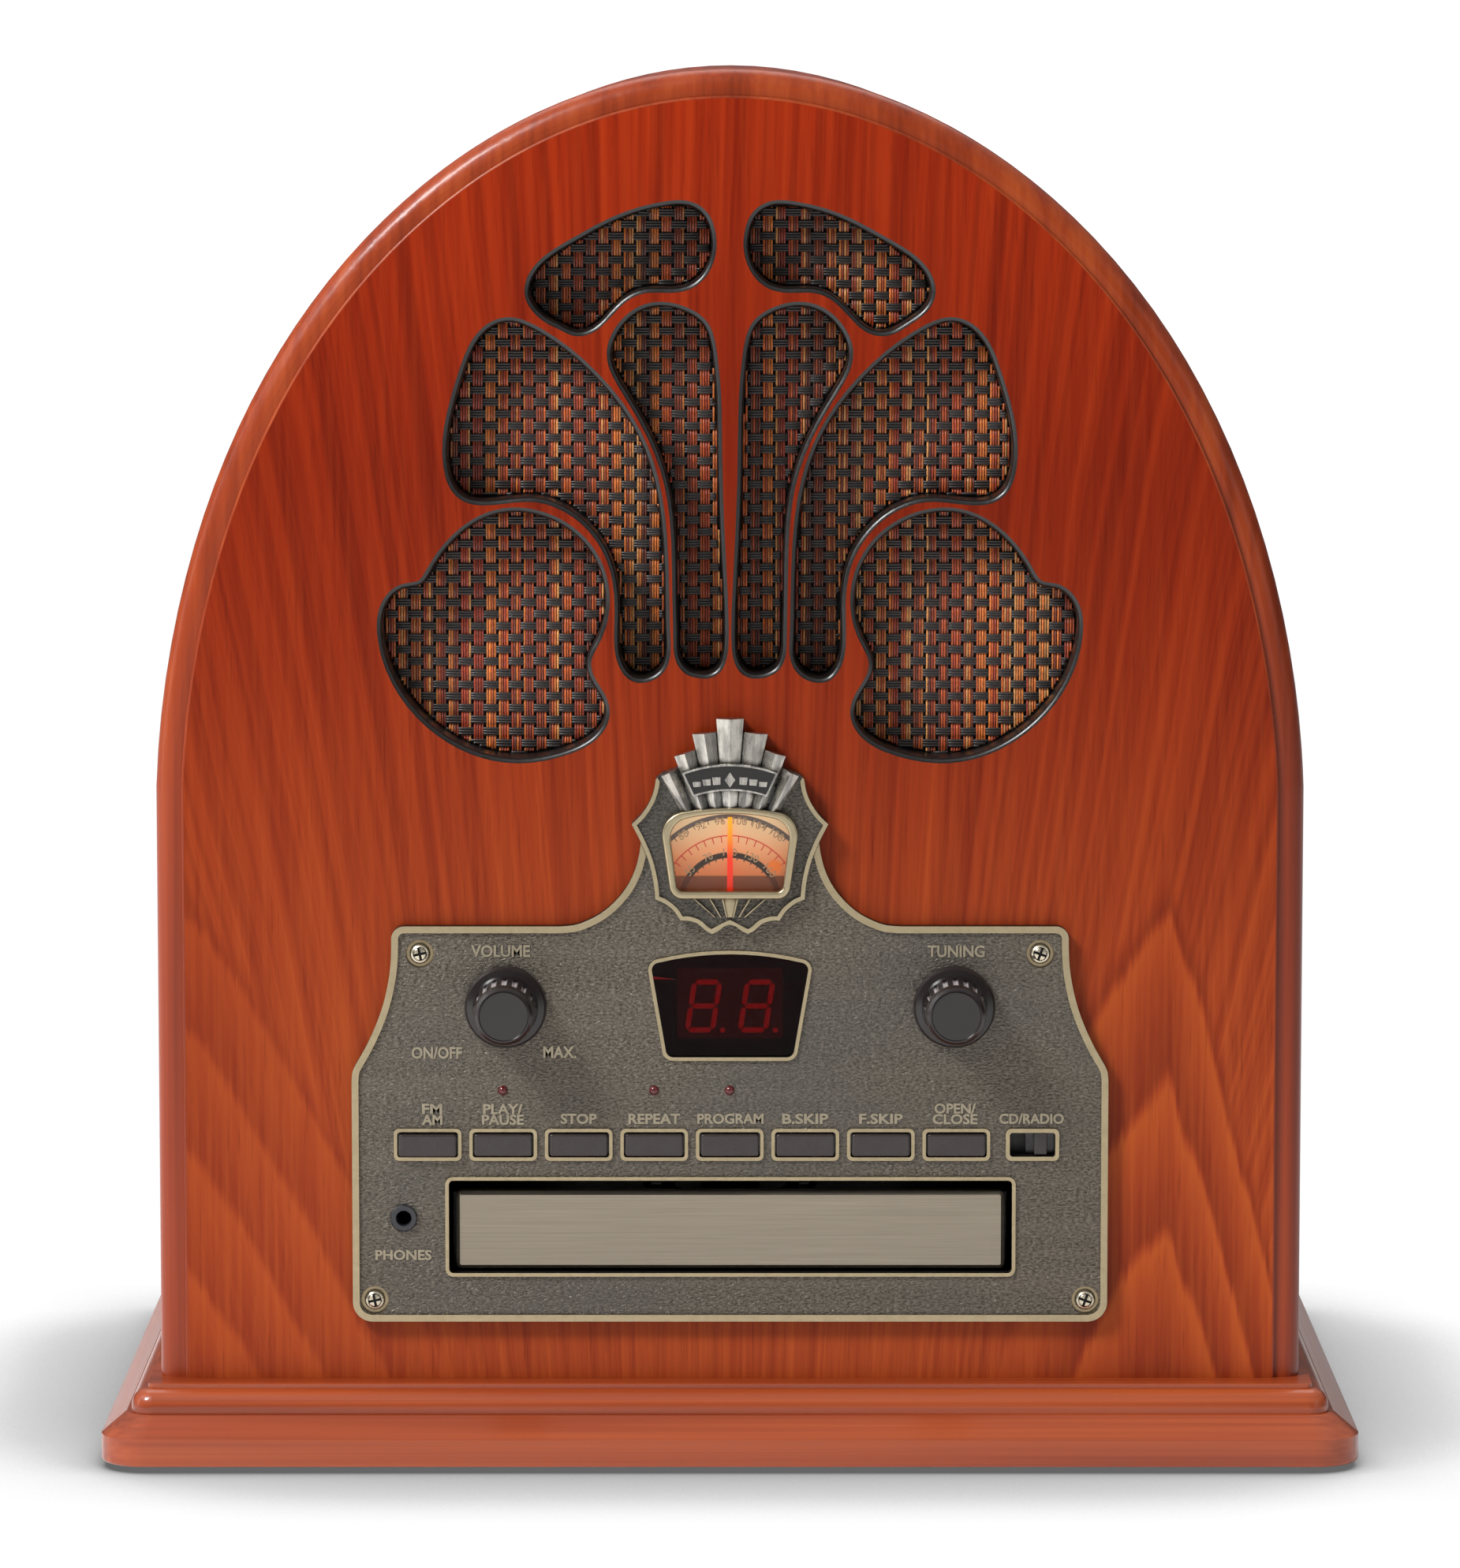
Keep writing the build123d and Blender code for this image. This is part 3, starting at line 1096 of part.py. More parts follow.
for blade_x in (hank_x - 7.1, hank_x + 5.6):
    power_cord = power_cord + box(blade_x, blade_x + 1.5, 96.2, 102.4, 20.6, 26.0)
save("power_cord", power_cord)

wire_r = 0.95
bend_y = 98.0              # where the wire turns up
coil_x, coil_z = wire_x + 9, 84.0
aerial = rod_y(wire_x, wire_z, 1.95, 88.5, 94.0) + rod_y(wire_x, wire_z, wire_r, 66, bend_y) \
    + rod_y(wire_x, wire_z, 3.0, shell_back, 94.6)
aerial = aerial + Pos(wire_x, bend_y, wire_z) * Sphere(wire_r) \
    + rod_z(wire_x, bend_y, wire_r, wire_z, wire_z + 18)
for k, (width, height) in enumerate(((18, 26), (15, 24), (17, 27), (13, 23))):
    aerial = aerial + cord_loop(coil_x + 0.4 * k, coil_z - 0.5 * k, width, height,
                                97.2 + 1.5 * k, wire_r)
tie = box(coil_x - 10.5, coil_x + 11.5, 96.0, 102.8, coil_z - 1.5, coil_z + 1.5)
aerial = aerial + fillet(tie.edges().filter_by(Axis.Z), 2.0)
save("antenna_wire", aerial)
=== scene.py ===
"""A wooden tabletop radio and CD player with an arched top.

Metres, +Z up. The front faces -Y, so +X is on the right seen from the front.
The radio stands on z = 0, centred on x = 0. The CAD pieces get their
materials and soft edges; the grille weave, raised lettering and the leather
grain of the faceplate are built here, with the studio around them.
"""
import math
import random

import bpy
import numpy as np
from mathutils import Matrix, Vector, noise as mnoise


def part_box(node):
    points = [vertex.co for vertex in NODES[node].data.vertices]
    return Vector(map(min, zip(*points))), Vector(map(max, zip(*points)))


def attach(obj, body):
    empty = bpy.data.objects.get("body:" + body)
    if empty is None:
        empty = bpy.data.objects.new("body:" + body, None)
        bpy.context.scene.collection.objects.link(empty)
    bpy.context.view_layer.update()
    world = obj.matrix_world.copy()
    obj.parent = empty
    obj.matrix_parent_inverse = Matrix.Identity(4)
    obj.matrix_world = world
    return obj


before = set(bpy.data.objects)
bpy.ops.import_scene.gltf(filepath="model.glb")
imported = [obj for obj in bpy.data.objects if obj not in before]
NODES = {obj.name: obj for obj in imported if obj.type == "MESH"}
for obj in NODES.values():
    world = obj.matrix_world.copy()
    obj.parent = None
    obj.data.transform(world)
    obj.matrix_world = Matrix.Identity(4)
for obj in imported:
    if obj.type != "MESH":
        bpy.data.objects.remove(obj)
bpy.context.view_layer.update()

random.seed(7)

# ------------------------------------------------------------- dimensions
FACE_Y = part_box("front_panel")[0][1]         # front of the wooden panel
FIELD_Y = FACE_Y - 0.0024                    # flat field of the faceplate
CLOTH_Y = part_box("grille_cloth")[0][1]       # front of the backing cloth
DIAL_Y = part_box("dial_scale")[0][1]          # front of the printed dial
PIVOT_Z = 0.136                              # height of the dial pointer's pivot
KNOB_X, KNOB_Z = 54.1, 111.4                 # knob centres at +-x, millimetres

# faceplate screws: x, z in millimetres
SCREWS = [(-74.8, 124.2), (74.8, 124.2), (-86.1, 39.5), (86.1, 39.5)]

# ---------------------------------------------- outlines: x, z in millimetres
# right half of the front panel's edge, from the top down to the foot
ARCH = [
    (0.0, 336.5), (16.21, 335.24), (32.0, 331.53), (47.11, 325.6), (61.29, 317.7), (74.38, 308.11),
    (86.31, 297.11), (97.03, 284.91), (106.47, 271.71), (114.63, 257.68), (121.53, 242.98),
    (127.21, 227.77), (131.71, 212.17), (135.1, 196.29), (137.41, 180.21), (138.6, 164.0),
    (138.6, 0.0)]

# grille openings of the right half, each a closed loop
TOP_VANE = [
    (36.89, 274.09), (33.47, 274.74), (29.12, 278.55), (24.4, 282.84), (20.05, 284.39),
    (13.33, 284.46), (9.14, 285.64), (6.09, 288.73), (4.5, 293.21), (4.76, 298.13), (6.7, 302.07),
    (9.87, 303.89), (15.24, 303.86), (22.24, 302.29), (29.45, 299.4), (37.27, 295.14),
    (44.15, 290.65), (47.07, 287.02), (47.92, 283.04), (46.39, 279.75), (41.83, 276.28)]
INNER_SLOT = [
    (5.34, 191.87), (3.38, 192.89), (2.08, 195.29), (1.52, 199.45), (1.54, 206.34), (1.93, 214.99),
    (2.45, 225.05), (2.83, 234.43), (3.04, 243.35), (3.14, 252.87), (3.42, 260.46), (4.04, 267.14),
    (5.01, 272.59), (6.34, 275.51), (8.78, 277.65), (12.44, 279.29), (16.22, 279.94),
    (19.74, 279.48), (22.89, 277.95), (25.64, 275.35), (27.57, 272.13), (28.3, 268.92),
    (27.76, 265.62), (25.81, 261.61), (22.03, 255.39), (18.92, 249.55), (16.52, 243.97),
    (14.83, 238.51), (13.7, 232.67), (13.05, 226.17), (12.76, 218.68), (12.65, 209.05),
    (12.45, 200.24), (12.01, 195.61), (10.77, 193.4), (8.33, 192.08)]
OUTER_SWEEP = [
    (22.63, 190.93), (19.91, 191.0), (17.16, 192.64), (15.73, 195.33), (15.5, 200.39),
    (15.74, 211.03), (16.02, 220.64), (16.62, 228.63), (17.7, 235.74), (19.35, 242.17),
    (21.65, 248.0), (24.74, 253.57), (28.63, 258.94), (33.22, 264.01), (38.33, 268.63),
    (43.61, 272.43), (48.79, 275.26), (52.59, 276.25), (55.92, 275.59), (59.03, 273.4),
    (61.54, 269.82), (63.68, 264.41), (66.21, 256.01), (67.46, 249.9), (67.74, 244.22),
    (67.04, 239.42), (65.4, 236.04), (62.91, 234.18), (59.01, 233.54), (52.57, 234.12),
    (47.26, 234.36), (42.6, 233.38), (38.15, 231.25), (34.15, 228.07), (30.86, 224.08),
    (28.49, 219.54), (27.1, 214.43), (26.55, 208.43), (26.7, 201.04), (26.3, 196.17),
    (24.86, 192.7)]
SPEAKER_LOBE = [
    (53.25, 171.41), (46.95, 171.58), (40.29, 173.08), (34.81, 175.45), (31.46, 178.51),
    (30.09, 182.21), (30.95, 185.85), (33.88, 190.95), (34.5, 194.93), (32.42, 199.72),
    (30.5, 204.99), (30.06, 210.67), (31.14, 216.29), (33.64, 221.33), (37.42, 225.47),
    (42.34, 228.58), (47.87, 230.35), (53.44, 230.59), (58.65, 229.23), (63.64, 226.25),
    (68.12, 221.85), (71.73, 216.46), (74.21, 213.22), (78.35, 212.28), (81.49, 210.13),
    (83.33, 206.38), (83.57, 201.17), (82.28, 194.98), (79.67, 189.01), (75.89, 183.55),
    (71.1, 178.84), (65.56, 175.13), (59.55, 172.61)]

# right half of the faceplate's field, from the foot up
PLATE_HALF = [
    (91.4, 34.3), (91.4, 93.0), (91.2, 95.4), (90.38, 97.3), (88.2, 101.1), (86.33, 104.93),
    (84.75, 108.77), (83.5, 112.62), (82.5, 117.0), (81.85, 121.5), (81.65, 126.0),
    (81.65, 130.95), (41.5, 130.95), (37.6, 131.25), (34.3, 132.4), (31.3, 134.0),
    (28.9, 135.85), (26.8, 138.0), (25.0, 140.35), (23.65, 142.8), (22.65, 145.3),
    (21.95, 148.0), (21.5, 150.8), (21.3, 154.0)]
# right half of the shield-shaped dial area above the field
SHIELD_HALF = [
    (0, 131.65), (4.3, 129.38), (9.97, 132.6), (13.55, 135.0), (17.95, 137.78), (18.8, 144.2),
    (21.3, 151.4), (23.6, 156), (23.6, 175)]
# outline of the digit display
DISPLAY_OUTLINE = [
    (-15.95, 98.2), (15.95, 98.2), (20.1, 122.3), (10.5, 124.3), (0, 125.05), (-10.5, 124.3),
    (-20.1, 122.3)]


# --------------------------------------------------------- plane geometry
def mirrored(half):
    """Joins a right half outline to its mirror image; the left half comes first."""
    return [(-x, z) for x, z in reversed(half) if x > 0] + half


def smooth_loop(points, parts=3):
    """Catmull-Rom curve through a closed loop, turned from millimetres to metres."""
    curve = []
    count = len(points)
    for i in range(count):
        p0, p1, p2, p3 = (points[(i + k - 1) % count] for k in range(4))
        for k in range(parts):
            t = k / parts
            curve.append([
                0.5 * (2 * p1[j] + (p2[j] - p0[j]) * t
                       + (2 * p0[j] - 5 * p1[j] + 4 * p2[j] - p3[j]) * t * t
                       + (3 * p1[j] - p0[j] - 3 * p2[j] + p3[j]) * t ** 3)
                for j in (0, 1)])
    return np.array(curve) / 1000.0


def line_distance(px, pz, line, closed=True):
    """Distance of each point to a chain of segments."""
    best = np.full(px.shape, 1e9)
    count = len(line)
    for i in range(count if closed else count - 1):
        ax, az = line[i]
        bx, bz = line[(i + 1) % count]
        dx, dz = bx - ax, bz - az
        t = np.clip(((px - ax) * dx + (pz - az) * dz) / (dx * dx + dz * dz + 1e-18), 0, 1)
        best = np.minimum(best, (px - ax - t * dx) ** 2 + (pz - az - t * dz) ** 2)
    return np.sqrt(best)


def is_inside(px, pz, loop):
    """Even-odd test of each point against a closed loop."""
    result = np.zeros(px.shape, bool)
    for i in range(len(loop)):
        ax, az = loop[i]
        bx, bz = loop[(i + 1) % len(loop)]
        if az == bz:
            continue
        crosses = (az > pz) != (bz > pz)
        result ^= crosses & (px < (bx - ax) * (pz - az) / (bz - az) + ax)
    return result


def loop_depth(px, pz, loop):
    """Signed distance to a closed loop, positive inside."""
    distance = line_distance(px, pz, loop)
    return np.where(is_inside(px, pz, loop), distance, -distance)


HOLES = []
for opening in (TOP_VANE, INNER_SLOT, OUTER_SWEEP, SPEAKER_LOBE):
    right_hole = smooth_loop(opening)
    HOLES += [right_hole, right_hole * np.array([-1, 1])]


def hole_depth(px, pz, margin=0.004):
    """Signed distance into the grille openings; points beyond margin stay far outside."""
    depth = np.full(px.shape, -1e9)
    for loop in HOLES:
        x0, z0 = loop.min(axis=0) - margin
        x1, z1 = loop.max(axis=0) + margin
        near = (px > x0) & (px < x1) & (pz > z0) & (pz < z1)
        if near.any():
            depth[near] = np.maximum(depth[near], loop_depth(px[near], pz[near], loop))
    return depth


def screw_area(x, z, radius):
    """True for points within radius of a faceplate screw's axis."""
    area = np.zeros(x.shape, bool)
    for screw_x, screw_z in SCREWS:
        area |= np.hypot(x - screw_x / 1000, z - screw_z / 1000) < radius
    return area


# ----------------------------------------------------------- node helpers
MATERIALS = {}                               # every material made here, by name


def linear(level):
    """One sRGB channel, 0 to 255, as a linear value."""
    level = level / 255.0
    return level / 12.92 if level <= 0.04045 else ((level + 0.055) / 1.055) ** 2.4


def rgb(red, green, blue):
    return (linear(red), linear(green), linear(blue), 1.0)


def shaded(color, factor):
    """The colour with its brightness multiplied by factor."""
    return (color[0] * factor, color[1] * factor, color[2] * factor, 1.0)


class Value:
    """A node's output; arithmetic on it adds Math nodes to its tree."""

    def __init__(self, nodes, socket):
        self.nodes = nodes
        self.socket = socket

    def __add__(self, other):
        return self.nodes.math("ADD", self, other)

    def __sub__(self, other):
        return self.nodes.math("SUBTRACT", self, other)

    def __rsub__(self, other):
        return self.nodes.math("SUBTRACT", other, self)

    def __mul__(self, other):
        return self.nodes.math("MULTIPLY", self, other)

    def __truediv__(self, other):
        return self.nodes.math("DIVIDE", self, other)

    def __pow__(self, other):
        return self.nodes.math("POWER", self, other)

    def __abs__(self):
        return self.nodes.math("ABSOLUTE", self)

    def fraction(self):
        return self.nodes.math("FRACT", self)

    def times_plus(self, factor, offset):
        return self.nodes.math("MULTIPLY_ADD", self, factor, offset)

    def fade(self, start, end, first=0.0, last=1.0, smooth=True):
        """Goes from first, where the value is start, to last, where it is end."""
        return self.nodes.value(
            "ShaderNodeMapRange", {0: self, 1: start, 2: end, 3: first, 4: last},
            interpolation_type="SMOOTHSTEP" if smooth else "LINEAR")


class Nodes:
    """Builds a node tree. Inputs are dicts from socket name or number to value."""

    def __init__(self, tree, output_kind):
        self.tree = tree
        tree.nodes.clear()
        self.output = tree.nodes.new(output_kind)
        self.coordinates = tree.nodes.new("ShaderNodeTexCoord")
        self.position = Value(self, self.coordinates.outputs["Object"])

    def node(self, kind, inputs, **settings):
        node = self.tree.nodes.new(kind)
        for key, setting in settings.items():
            setattr(node, key, setting)
        for key, value in inputs.items():
            if isinstance(value, Value):
                self.tree.links.new(value.socket, node.inputs[key])
            else:
                node.inputs[key].default_value = value
        return node

    def value(self, kind, inputs, output=0, **settings):
        return Value(self, self.node(kind, inputs, **settings).outputs[output])

    def math(self, operation, *operands):
        return self.value("ShaderNodeMath", dict(enumerate(operands)), operation=operation)

    def length(self, a, b):
        return self.math("SQRT", a * a + b * b)

    def xyz(self, vector=None):
        node = self.node("ShaderNodeSeparateXYZ", {0: vector or self.position})
        return [Value(self, socket) for socket in node.outputs]

    def vector(self, x, y, z):
        return self.value("ShaderNodeCombineXYZ", {0: x, 1: y, 2: z})

    def scaled(self, scale, source=None, offset=(0, 0, 0)):
        return self.value("ShaderNodeMapping",
                          {0: source or self.position, "Scale": scale, "Location": offset})

    def noise(self, vector, scale=1.0, detail=2.0, rough=0.5):
        return self.value("ShaderNodeTexNoise", {
            "Vector": vector, "Scale": scale, "Detail": detail, "Roughness": rough})

    def grain(self, scale, source=None, offset=(0, 0, 0), detail=2.0, rough=0.5):
        """Noise with its own scale on each axis."""
        return self.noise(self.scaled(scale, source, offset), detail=detail, rough=rough)

    def ramp(self, factor, stops, interpolation="LINEAR"):
        """Colour ramp through stops, a list of (position, colour)."""
        node = self.node("ShaderNodeValToRGB", {0: factor})
        band = node.color_ramp
        band.interpolation = interpolation
        while len(band.elements) > 1:
            band.elements.remove(band.elements[-1])
        band.elements[0].position, band.elements[0].color = stops[0]
        for position, color in stops[1:]:
            band.elements.new(position).color = color
        return Value(self, node.outputs[0])

    def mix(self, amount, color, other, mode="MIX"):
        """Mixes other over color; inputs 0, 6 and 7 are the node's colour mode sockets."""
        return self.value("ShaderNodeMix", {0: amount, 6: color, 7: other}, output=2,
                          data_type="RGBA", blend_type=mode, clamp_result=False)

    def bump(self, height, strength, distance):
        return self.value("ShaderNodeBump", {
            "Height": height, "Strength": strength, "Distance": distance})

    def occlusion(self, distance, samples):
        return self.value("ShaderNodeAmbientOcclusion", {"Distance": distance}, output="AO",
                          samples=samples)

    def principled(self, color, rough, metal=0.0, spec=0.5, coat=0.0, coat_rough=0.1, **others):
        """Principled shader; others are further inputs, such as emission_color."""
        inputs = {"Base Color": color, "Roughness": rough, "Metallic": metal,
                  "Specular IOR Level": spec, "Coat Weight": coat, "Coat Roughness": coat_rough}
        for key, value in others.items():
            inputs[key.replace("_", " ").title()] = value
        return self.value("ShaderNodeBsdfPrincipled", inputs)

    def mix_shader(self, amount, shader, other):
        return self.value("ShaderNodeMixShader", {0: amount, 1: shader, 2: other})

    def surface(self, shader):
        self.tree.links.new(shader.socket, self.output.inputs["Surface"])

    def finish(self, color, rough, **inputs):
        """Ends the material with a Principled shader."""
        self.surface(self.principled(color, rough, **inputs))


class Mat(Nodes):
    """A new node material, kept in MATERIALS."""

    def __init__(self, name):
        material = bpy.data.materials.new(name)
        material.use_nodes = True
        MATERIALS[name] = material
        super().__init__(material.node_tree, "ShaderNodeOutputMaterial")


# ------------------------------------------------------------------- wood
def veneer_arches(mat, x, z, flat, feathers, apex_x, apex_z, slopes, pitch, offset, swing):
    """Nested arches of grain below an apex.

    slopes are the falls to the left and right, pitch is the spacing of the
    arches, offset places their noise and swing is how far they wander.
    Returns the figure and the mask of its area.
    """
    side = x - apex_x
    left, right = slopes
    slope = mat.mix(side.fade(-0.002, 0.002), (left,) * 3 + (1,), (right,) * 3 + (1,))
    run = mat.math("SQRT", side * side + 0.00003)    # rounds the apex
    low = mat.grain((24, 1, 11), flat, offset)
    fall = run * mat.value("ShaderNodeSeparateColor", {0: slope})
    level = (z + fall + (low - 0.5) * swing
             + (feathers[0] - 0.5) * 0.008 + (feathers[1] - 0.5) * 0.006)
    rings = (apex_z - level) / pitch
    part = (rings + 40.0).fraction()
    return part.fade(0.0, 0.17) * (1.0 - part) ** 1.10, rings.fade(-0.25, 0.12)


def veneer_figure(mat, x, z, flat):
    """Upright stripes in the middle, with arches low on the right and left."""
    wander = mat.grain((14, 1, 4.0), flat)
    wander_fine = mat.grain((30, 1, 9.0), flat, offset=(3.1, 0, 1.7))
    feathers = (mat.grain((900, 1, 9), flat, offset=(1.3, 0, 0.2), detail=3.0, rough=0.65),
                mat.grain((210, 1, 6), flat, offset=(4.3, 0, 2.2), rough=0.6))
    # stripes 3 mm apart that open out towards the top
    fan = x * 1.75 / z.times_plus(2.4, 1.0)
    across = fan / 0.0030 + wander * 4.0 + wander_fine * 1.3
    stripes = mat.noise(mat.vector(across, z * 2.5, 0.0), scale=0.8, detail=3.0, rough=0.62)
    stripes = (stripes - 0.5).times_plus(0.95, 0.5)

    right, right_mask = veneer_arches(
        mat, x, z, flat, feathers, apex_x=0.108, apex_z=0.1475, slopes=(1.9, 4.2),
        pitch=0.0385, offset=(0.4, 0, 0.9), swing=0.020)
    left, left_mask = veneer_arches(
        mat, x, z, flat, feathers, apex_x=-0.134, apex_z=0.150, slopes=(3.0, 1.9),
        pitch=0.030, offset=(7.4, 0, 3.9), swing=0.016)
    right_mask = right_mask * x.fade(0.058, 0.082)
    left_mask = left_mask * x.fade(-0.060, -0.085)
    figure = mat.mix(right_mask * 0.86, stripes, right.times_plus(0.62, 0.20))
    return mat.mix(left_mask * 0.78, figure, left.times_plus(0.38, 0.31))


def panel_veneer():
    """Red stained veneer of the front panel."""
    mat = Mat("veneer_front")
    x, _, z = mat.xyz()
    flat = mat.vector(x, 0.0, z)
    figure = veneer_figure(mat, x, z, flat)
    upper = mat.ramp(figure, [(0.18, rgb(92, 19, 5)), (0.40, rgb(122, 29, 8)),
                              (0.56, rgb(146, 39, 11)), (0.80, rgb(164, 52, 16))])
    lower = mat.ramp(figure, [(0.12, rgb(112, 36, 17)), (0.36, rgb(138, 50, 24)),
                              (0.58, rgb(160, 66, 30)), (0.86, rgb(188, 90, 38))])
    # the lower part is lighter: partly the wood's own tone and partly a painted reflection of the
    # pale floor
    down = z.fade(0.25, 0.07)
    color = mat.mix(down, upper, lower)
    # fine pores: short dark upright dashes, and paler rays between them
    pores = mat.grain((1500, 1, 55), flat, rough=0.6).fade(0.58, 0.72)
    rays = mat.grain((620, 1, 17), flat, offset=(5, 0, 2), rough=0.6)
    fine = rays.fade(0.35, 0.70)
    color = mat.mix(pores * 0.34, color, rgb(78, 17, 5))
    color = mat.mix(fine * 0.20, color, mat.mix(down, rgb(176, 62, 20), rgb(196, 98, 42)))
    cloud = mat.grain((9, 1, 6), flat, offset=(8, 0, 3))
    color = mat.mix(cloud.fade(0.35, 0.75, last=0.20), color, rgb(112, 30, 10))
    # tint by height, darkest above the middle
    tint = mat.ramp(z * 3.0, [(0.15, (0.94, 0.96, 0.90, 1)), (0.42, (0.80, 0.80, 0.72, 1)),
                              (0.72, (0.68, 0.68, 0.60, 1)), (0.99, (0.97, 0.98, 0.82, 1))])
    color = mat.mix(1.0, color, tint, "MULTIPLY")
    relief = mat.bump(pores.times_plus(-0.6, fine), strength=0.16, distance=0.00008)
    mat.finish(color, rays.fade(0.2, 0.8, first=0.34, last=0.42), normal=relief,
               coat=0.05, coat_rough=0.14, spec=0.08)


def lacquered_wood(name, along, light, mid, dark, coat, coat_rough=0.12, across=900.0):
    """Lacquered wood; along is the grain's axis, across the fine grain's density."""
    mat = Mat(name)
    fine_scale = {"x": (5, across * 0.5, across), "y": (across, 5, across),
                  "z": (across * 0.6, across * 0.6, 6)}[along]
    broad_scale = {"x": (3, 60, 90), "y": (90, 3, 90), "z": (90, 60, 3)}[along]
    fine = mat.grain(fine_scale, rough=0.6)
    broad = mat.grain(broad_scale)
    color = mat.ramp(broad * 0.65 + fine * 0.35, [(0.30, dark), (0.48, mid), (0.68, light)])
    mat.finish(color, broad.fade(0.3, 0.7, first=0.30, last=0.38),
               normal=mat.bump(fine, strength=0.08, distance=0.00006),
               coat=coat, coat_rough=coat_rough, spec=0.3)


panel_veneer()
lacquered_wood("moulding", "z", light=rgb(158, 68, 24), mid=rgb(136, 50, 17),
               dark=rgb(104, 34, 10), coat=0.08)
lacquered_wood("plinth_long", "x", light=rgb(170, 80, 38), mid=rgb(144, 60, 27),
               dark=rgb(110, 42, 18), coat=0.45)
lacquered_wood("plinth_side", "y", light=rgb(156, 72, 36), mid=rgb(130, 54, 26),
               dark=rgb(100, 38, 17), coat=0.34)
lacquered_wood("shell_veneer", "y", light=rgb(158, 60, 27), mid=rgb(134, 45, 19),
               dark=rgb(106, 31, 12), coat=0.22, coat_rough=0.24, across=700.0)


# --------------------------------------------------------- plain surfaces
def worked_surface(name, color, rough, metal, variation, scale, bump, stretch=(1, 1, 1), **others):
    """A surface whose colour, roughness and height vary at a small scale."""
    mat = Mat(name)
    place = mat.scaled(tuple(scale * s for s in stretch))
    fine = mat.noise(place, detail=4.0, rough=0.6)
    broad = mat.noise(place, scale=0.13)
    low = shaded(color, 1 - variation)
    high = tuple(min(1, c * (1 + variation)) for c in color[:3]) + (1,)
    tone = mat.ramp(fine * 0.6 + broad * 0.4, [(0.3, low), (0.7, high)])
    mat.finish(tone, fine.fade(0.3, 0.7, first=max(0.03, rough - 0.06), last=rough + 0.06),
               metal=metal, normal=mat.bump(fine, strength=bump, distance=0.00008), **others)


# name, sRGB colour, roughness, metallic, variation, noise scale, bump, other settings
WORKED_SURFACES = [
    ("black_satin_paint", (16, 13, 12), 0.34, 0.0, 0.25, 900, 0.10,
     dict(coat=0.25, coat_rough=0.25)),
    ("plain_timber_mat", (176, 138, 96), 0.7, 0.0, 0.16, 60, 0.25, dict(stretch=(4, 1, 4))),
    ("hardboard_mat", (86, 58, 38), 0.75, 0.0, 0.20, 1400, 0.30, {}),
    # painted shade: the faceplate's walls are near black, for the dark gaps round its openings and
    # edges
    ("pewter_walls_painted_shade", (24, 21, 19), 0.45, 0.4, 0.2, 600, 0.1, {}),
    ("button_satin", (40, 32, 31), 0.28, 0.0, 0.04, 300, 0.02,
     dict(coat=0.30, coat_rough=0.15, spec=0.4)),
    ("black_plastic_mat", (22, 21, 21), 0.45, 0.0, 0.2, 500, 0.12, {}),
    ("nickel_screw", (204, 194, 172), 0.28, 0.95, 0.06, 500, 0.04, {}),
    # painted shade: the cross recesses of the screw heads are near black
    ("screw_recess_painted_shade", (14, 11, 10), 0.5, 0.3, 0.2, 900, 0.05, {}),
    ("stamped_steel_mat", (160, 162, 165), 0.38, 0.95, 0.10, 400, 0.08, {}),
    ("bright_steel_mat", (196, 198, 200), 0.22, 1.0, 0.06, 600, 0.04, {}),
    ("rubber_mat", (24, 24, 25), 0.75, 0.0, 0.2, 800, 0.2, {}),
    ("paper_cone_mat", (38, 36, 35), 0.85, 0.0, 0.25, 700, 0.4, {}),
    ("ferrite_mat", (44, 44, 48), 0.55, 0.2, 0.15, 500, 0.15, {}),
    ("cream_plastic_mat", (222, 214, 196), 0.4, 0.0, 0.05, 400, 0.05, {}),
    ("drive_cord_mat", (206, 196, 170), 0.8, 0.0, 0.15, 2500, 0.4, {}),
    ("capacitor_can_mat", (40, 70, 110), 0.35, 0.3, 0.15, 500, 0.05, {}),
    ("circuit_board_mat", (168, 122, 62), 0.55, 0.0, 0.12, 700, 0.1, {}),
    ("jack_black", (30, 31, 36), 0.30, 0.0, 0.10, 600, 0.05, dict(coat=0.2)),
    ("backing_black", (10, 8, 7), 0.9, 0.0, 0.3, 900, 0.2, {}),
]
for name, srgb, rough, metal, variation, scale, bump, others in WORKED_SURFACES:
    worked_surface(name, rgb(*srgb), rough, metal, variation, scale, bump, **others)


# ----------------------------------------------------------------- metals
def leather_pewter(name, high, low, scale_x, scale_z, strength, distance):
    """Grey bronze plate whose fine leather grain is wider than it is high."""
    mat = Mat(name)
    x, _, z = mat.xyz()
    flat = mat.vector(x, 0.0, z)
    warp = mat.grain((420, 1, 500), flat)
    pebble_x = x * scale_x + warp * 2.2
    pebble_z = z * scale_z + warp * 1.8
    pebbles = mat.noise(mat.vector(pebble_x, 0.0, pebble_z), detail=2.5, rough=0.6)
    grit = mat.grain((2600, 1, 3300), flat, rough=0.6)
    height = pebbles * 1.0 + grit * 0.22
    tone = height.fade(0.38, 0.84)
    clouds = mat.grain((16, 1, 20), flat, offset=(2, 0, 5))
    streaks = mat.grain((6, 1, 260), flat, offset=(1, 0, 1))
    color = mat.mix(tone, low, high)
    color = mat.mix(clouds.fade(0.35, 0.7, last=0.35), color,
                    mat.mix(0.5, low, rgb(98, 102, 104)))
    color = mat.mix(streaks.fade(0.45, 0.75, last=0.18), color, high)
    mat.finish(color, tone.fade(0.0, 1.0, first=0.42, last=0.32), metal=0.70, spec=0.4,
               normal=mat.bump(height, strength=strength, distance=distance))


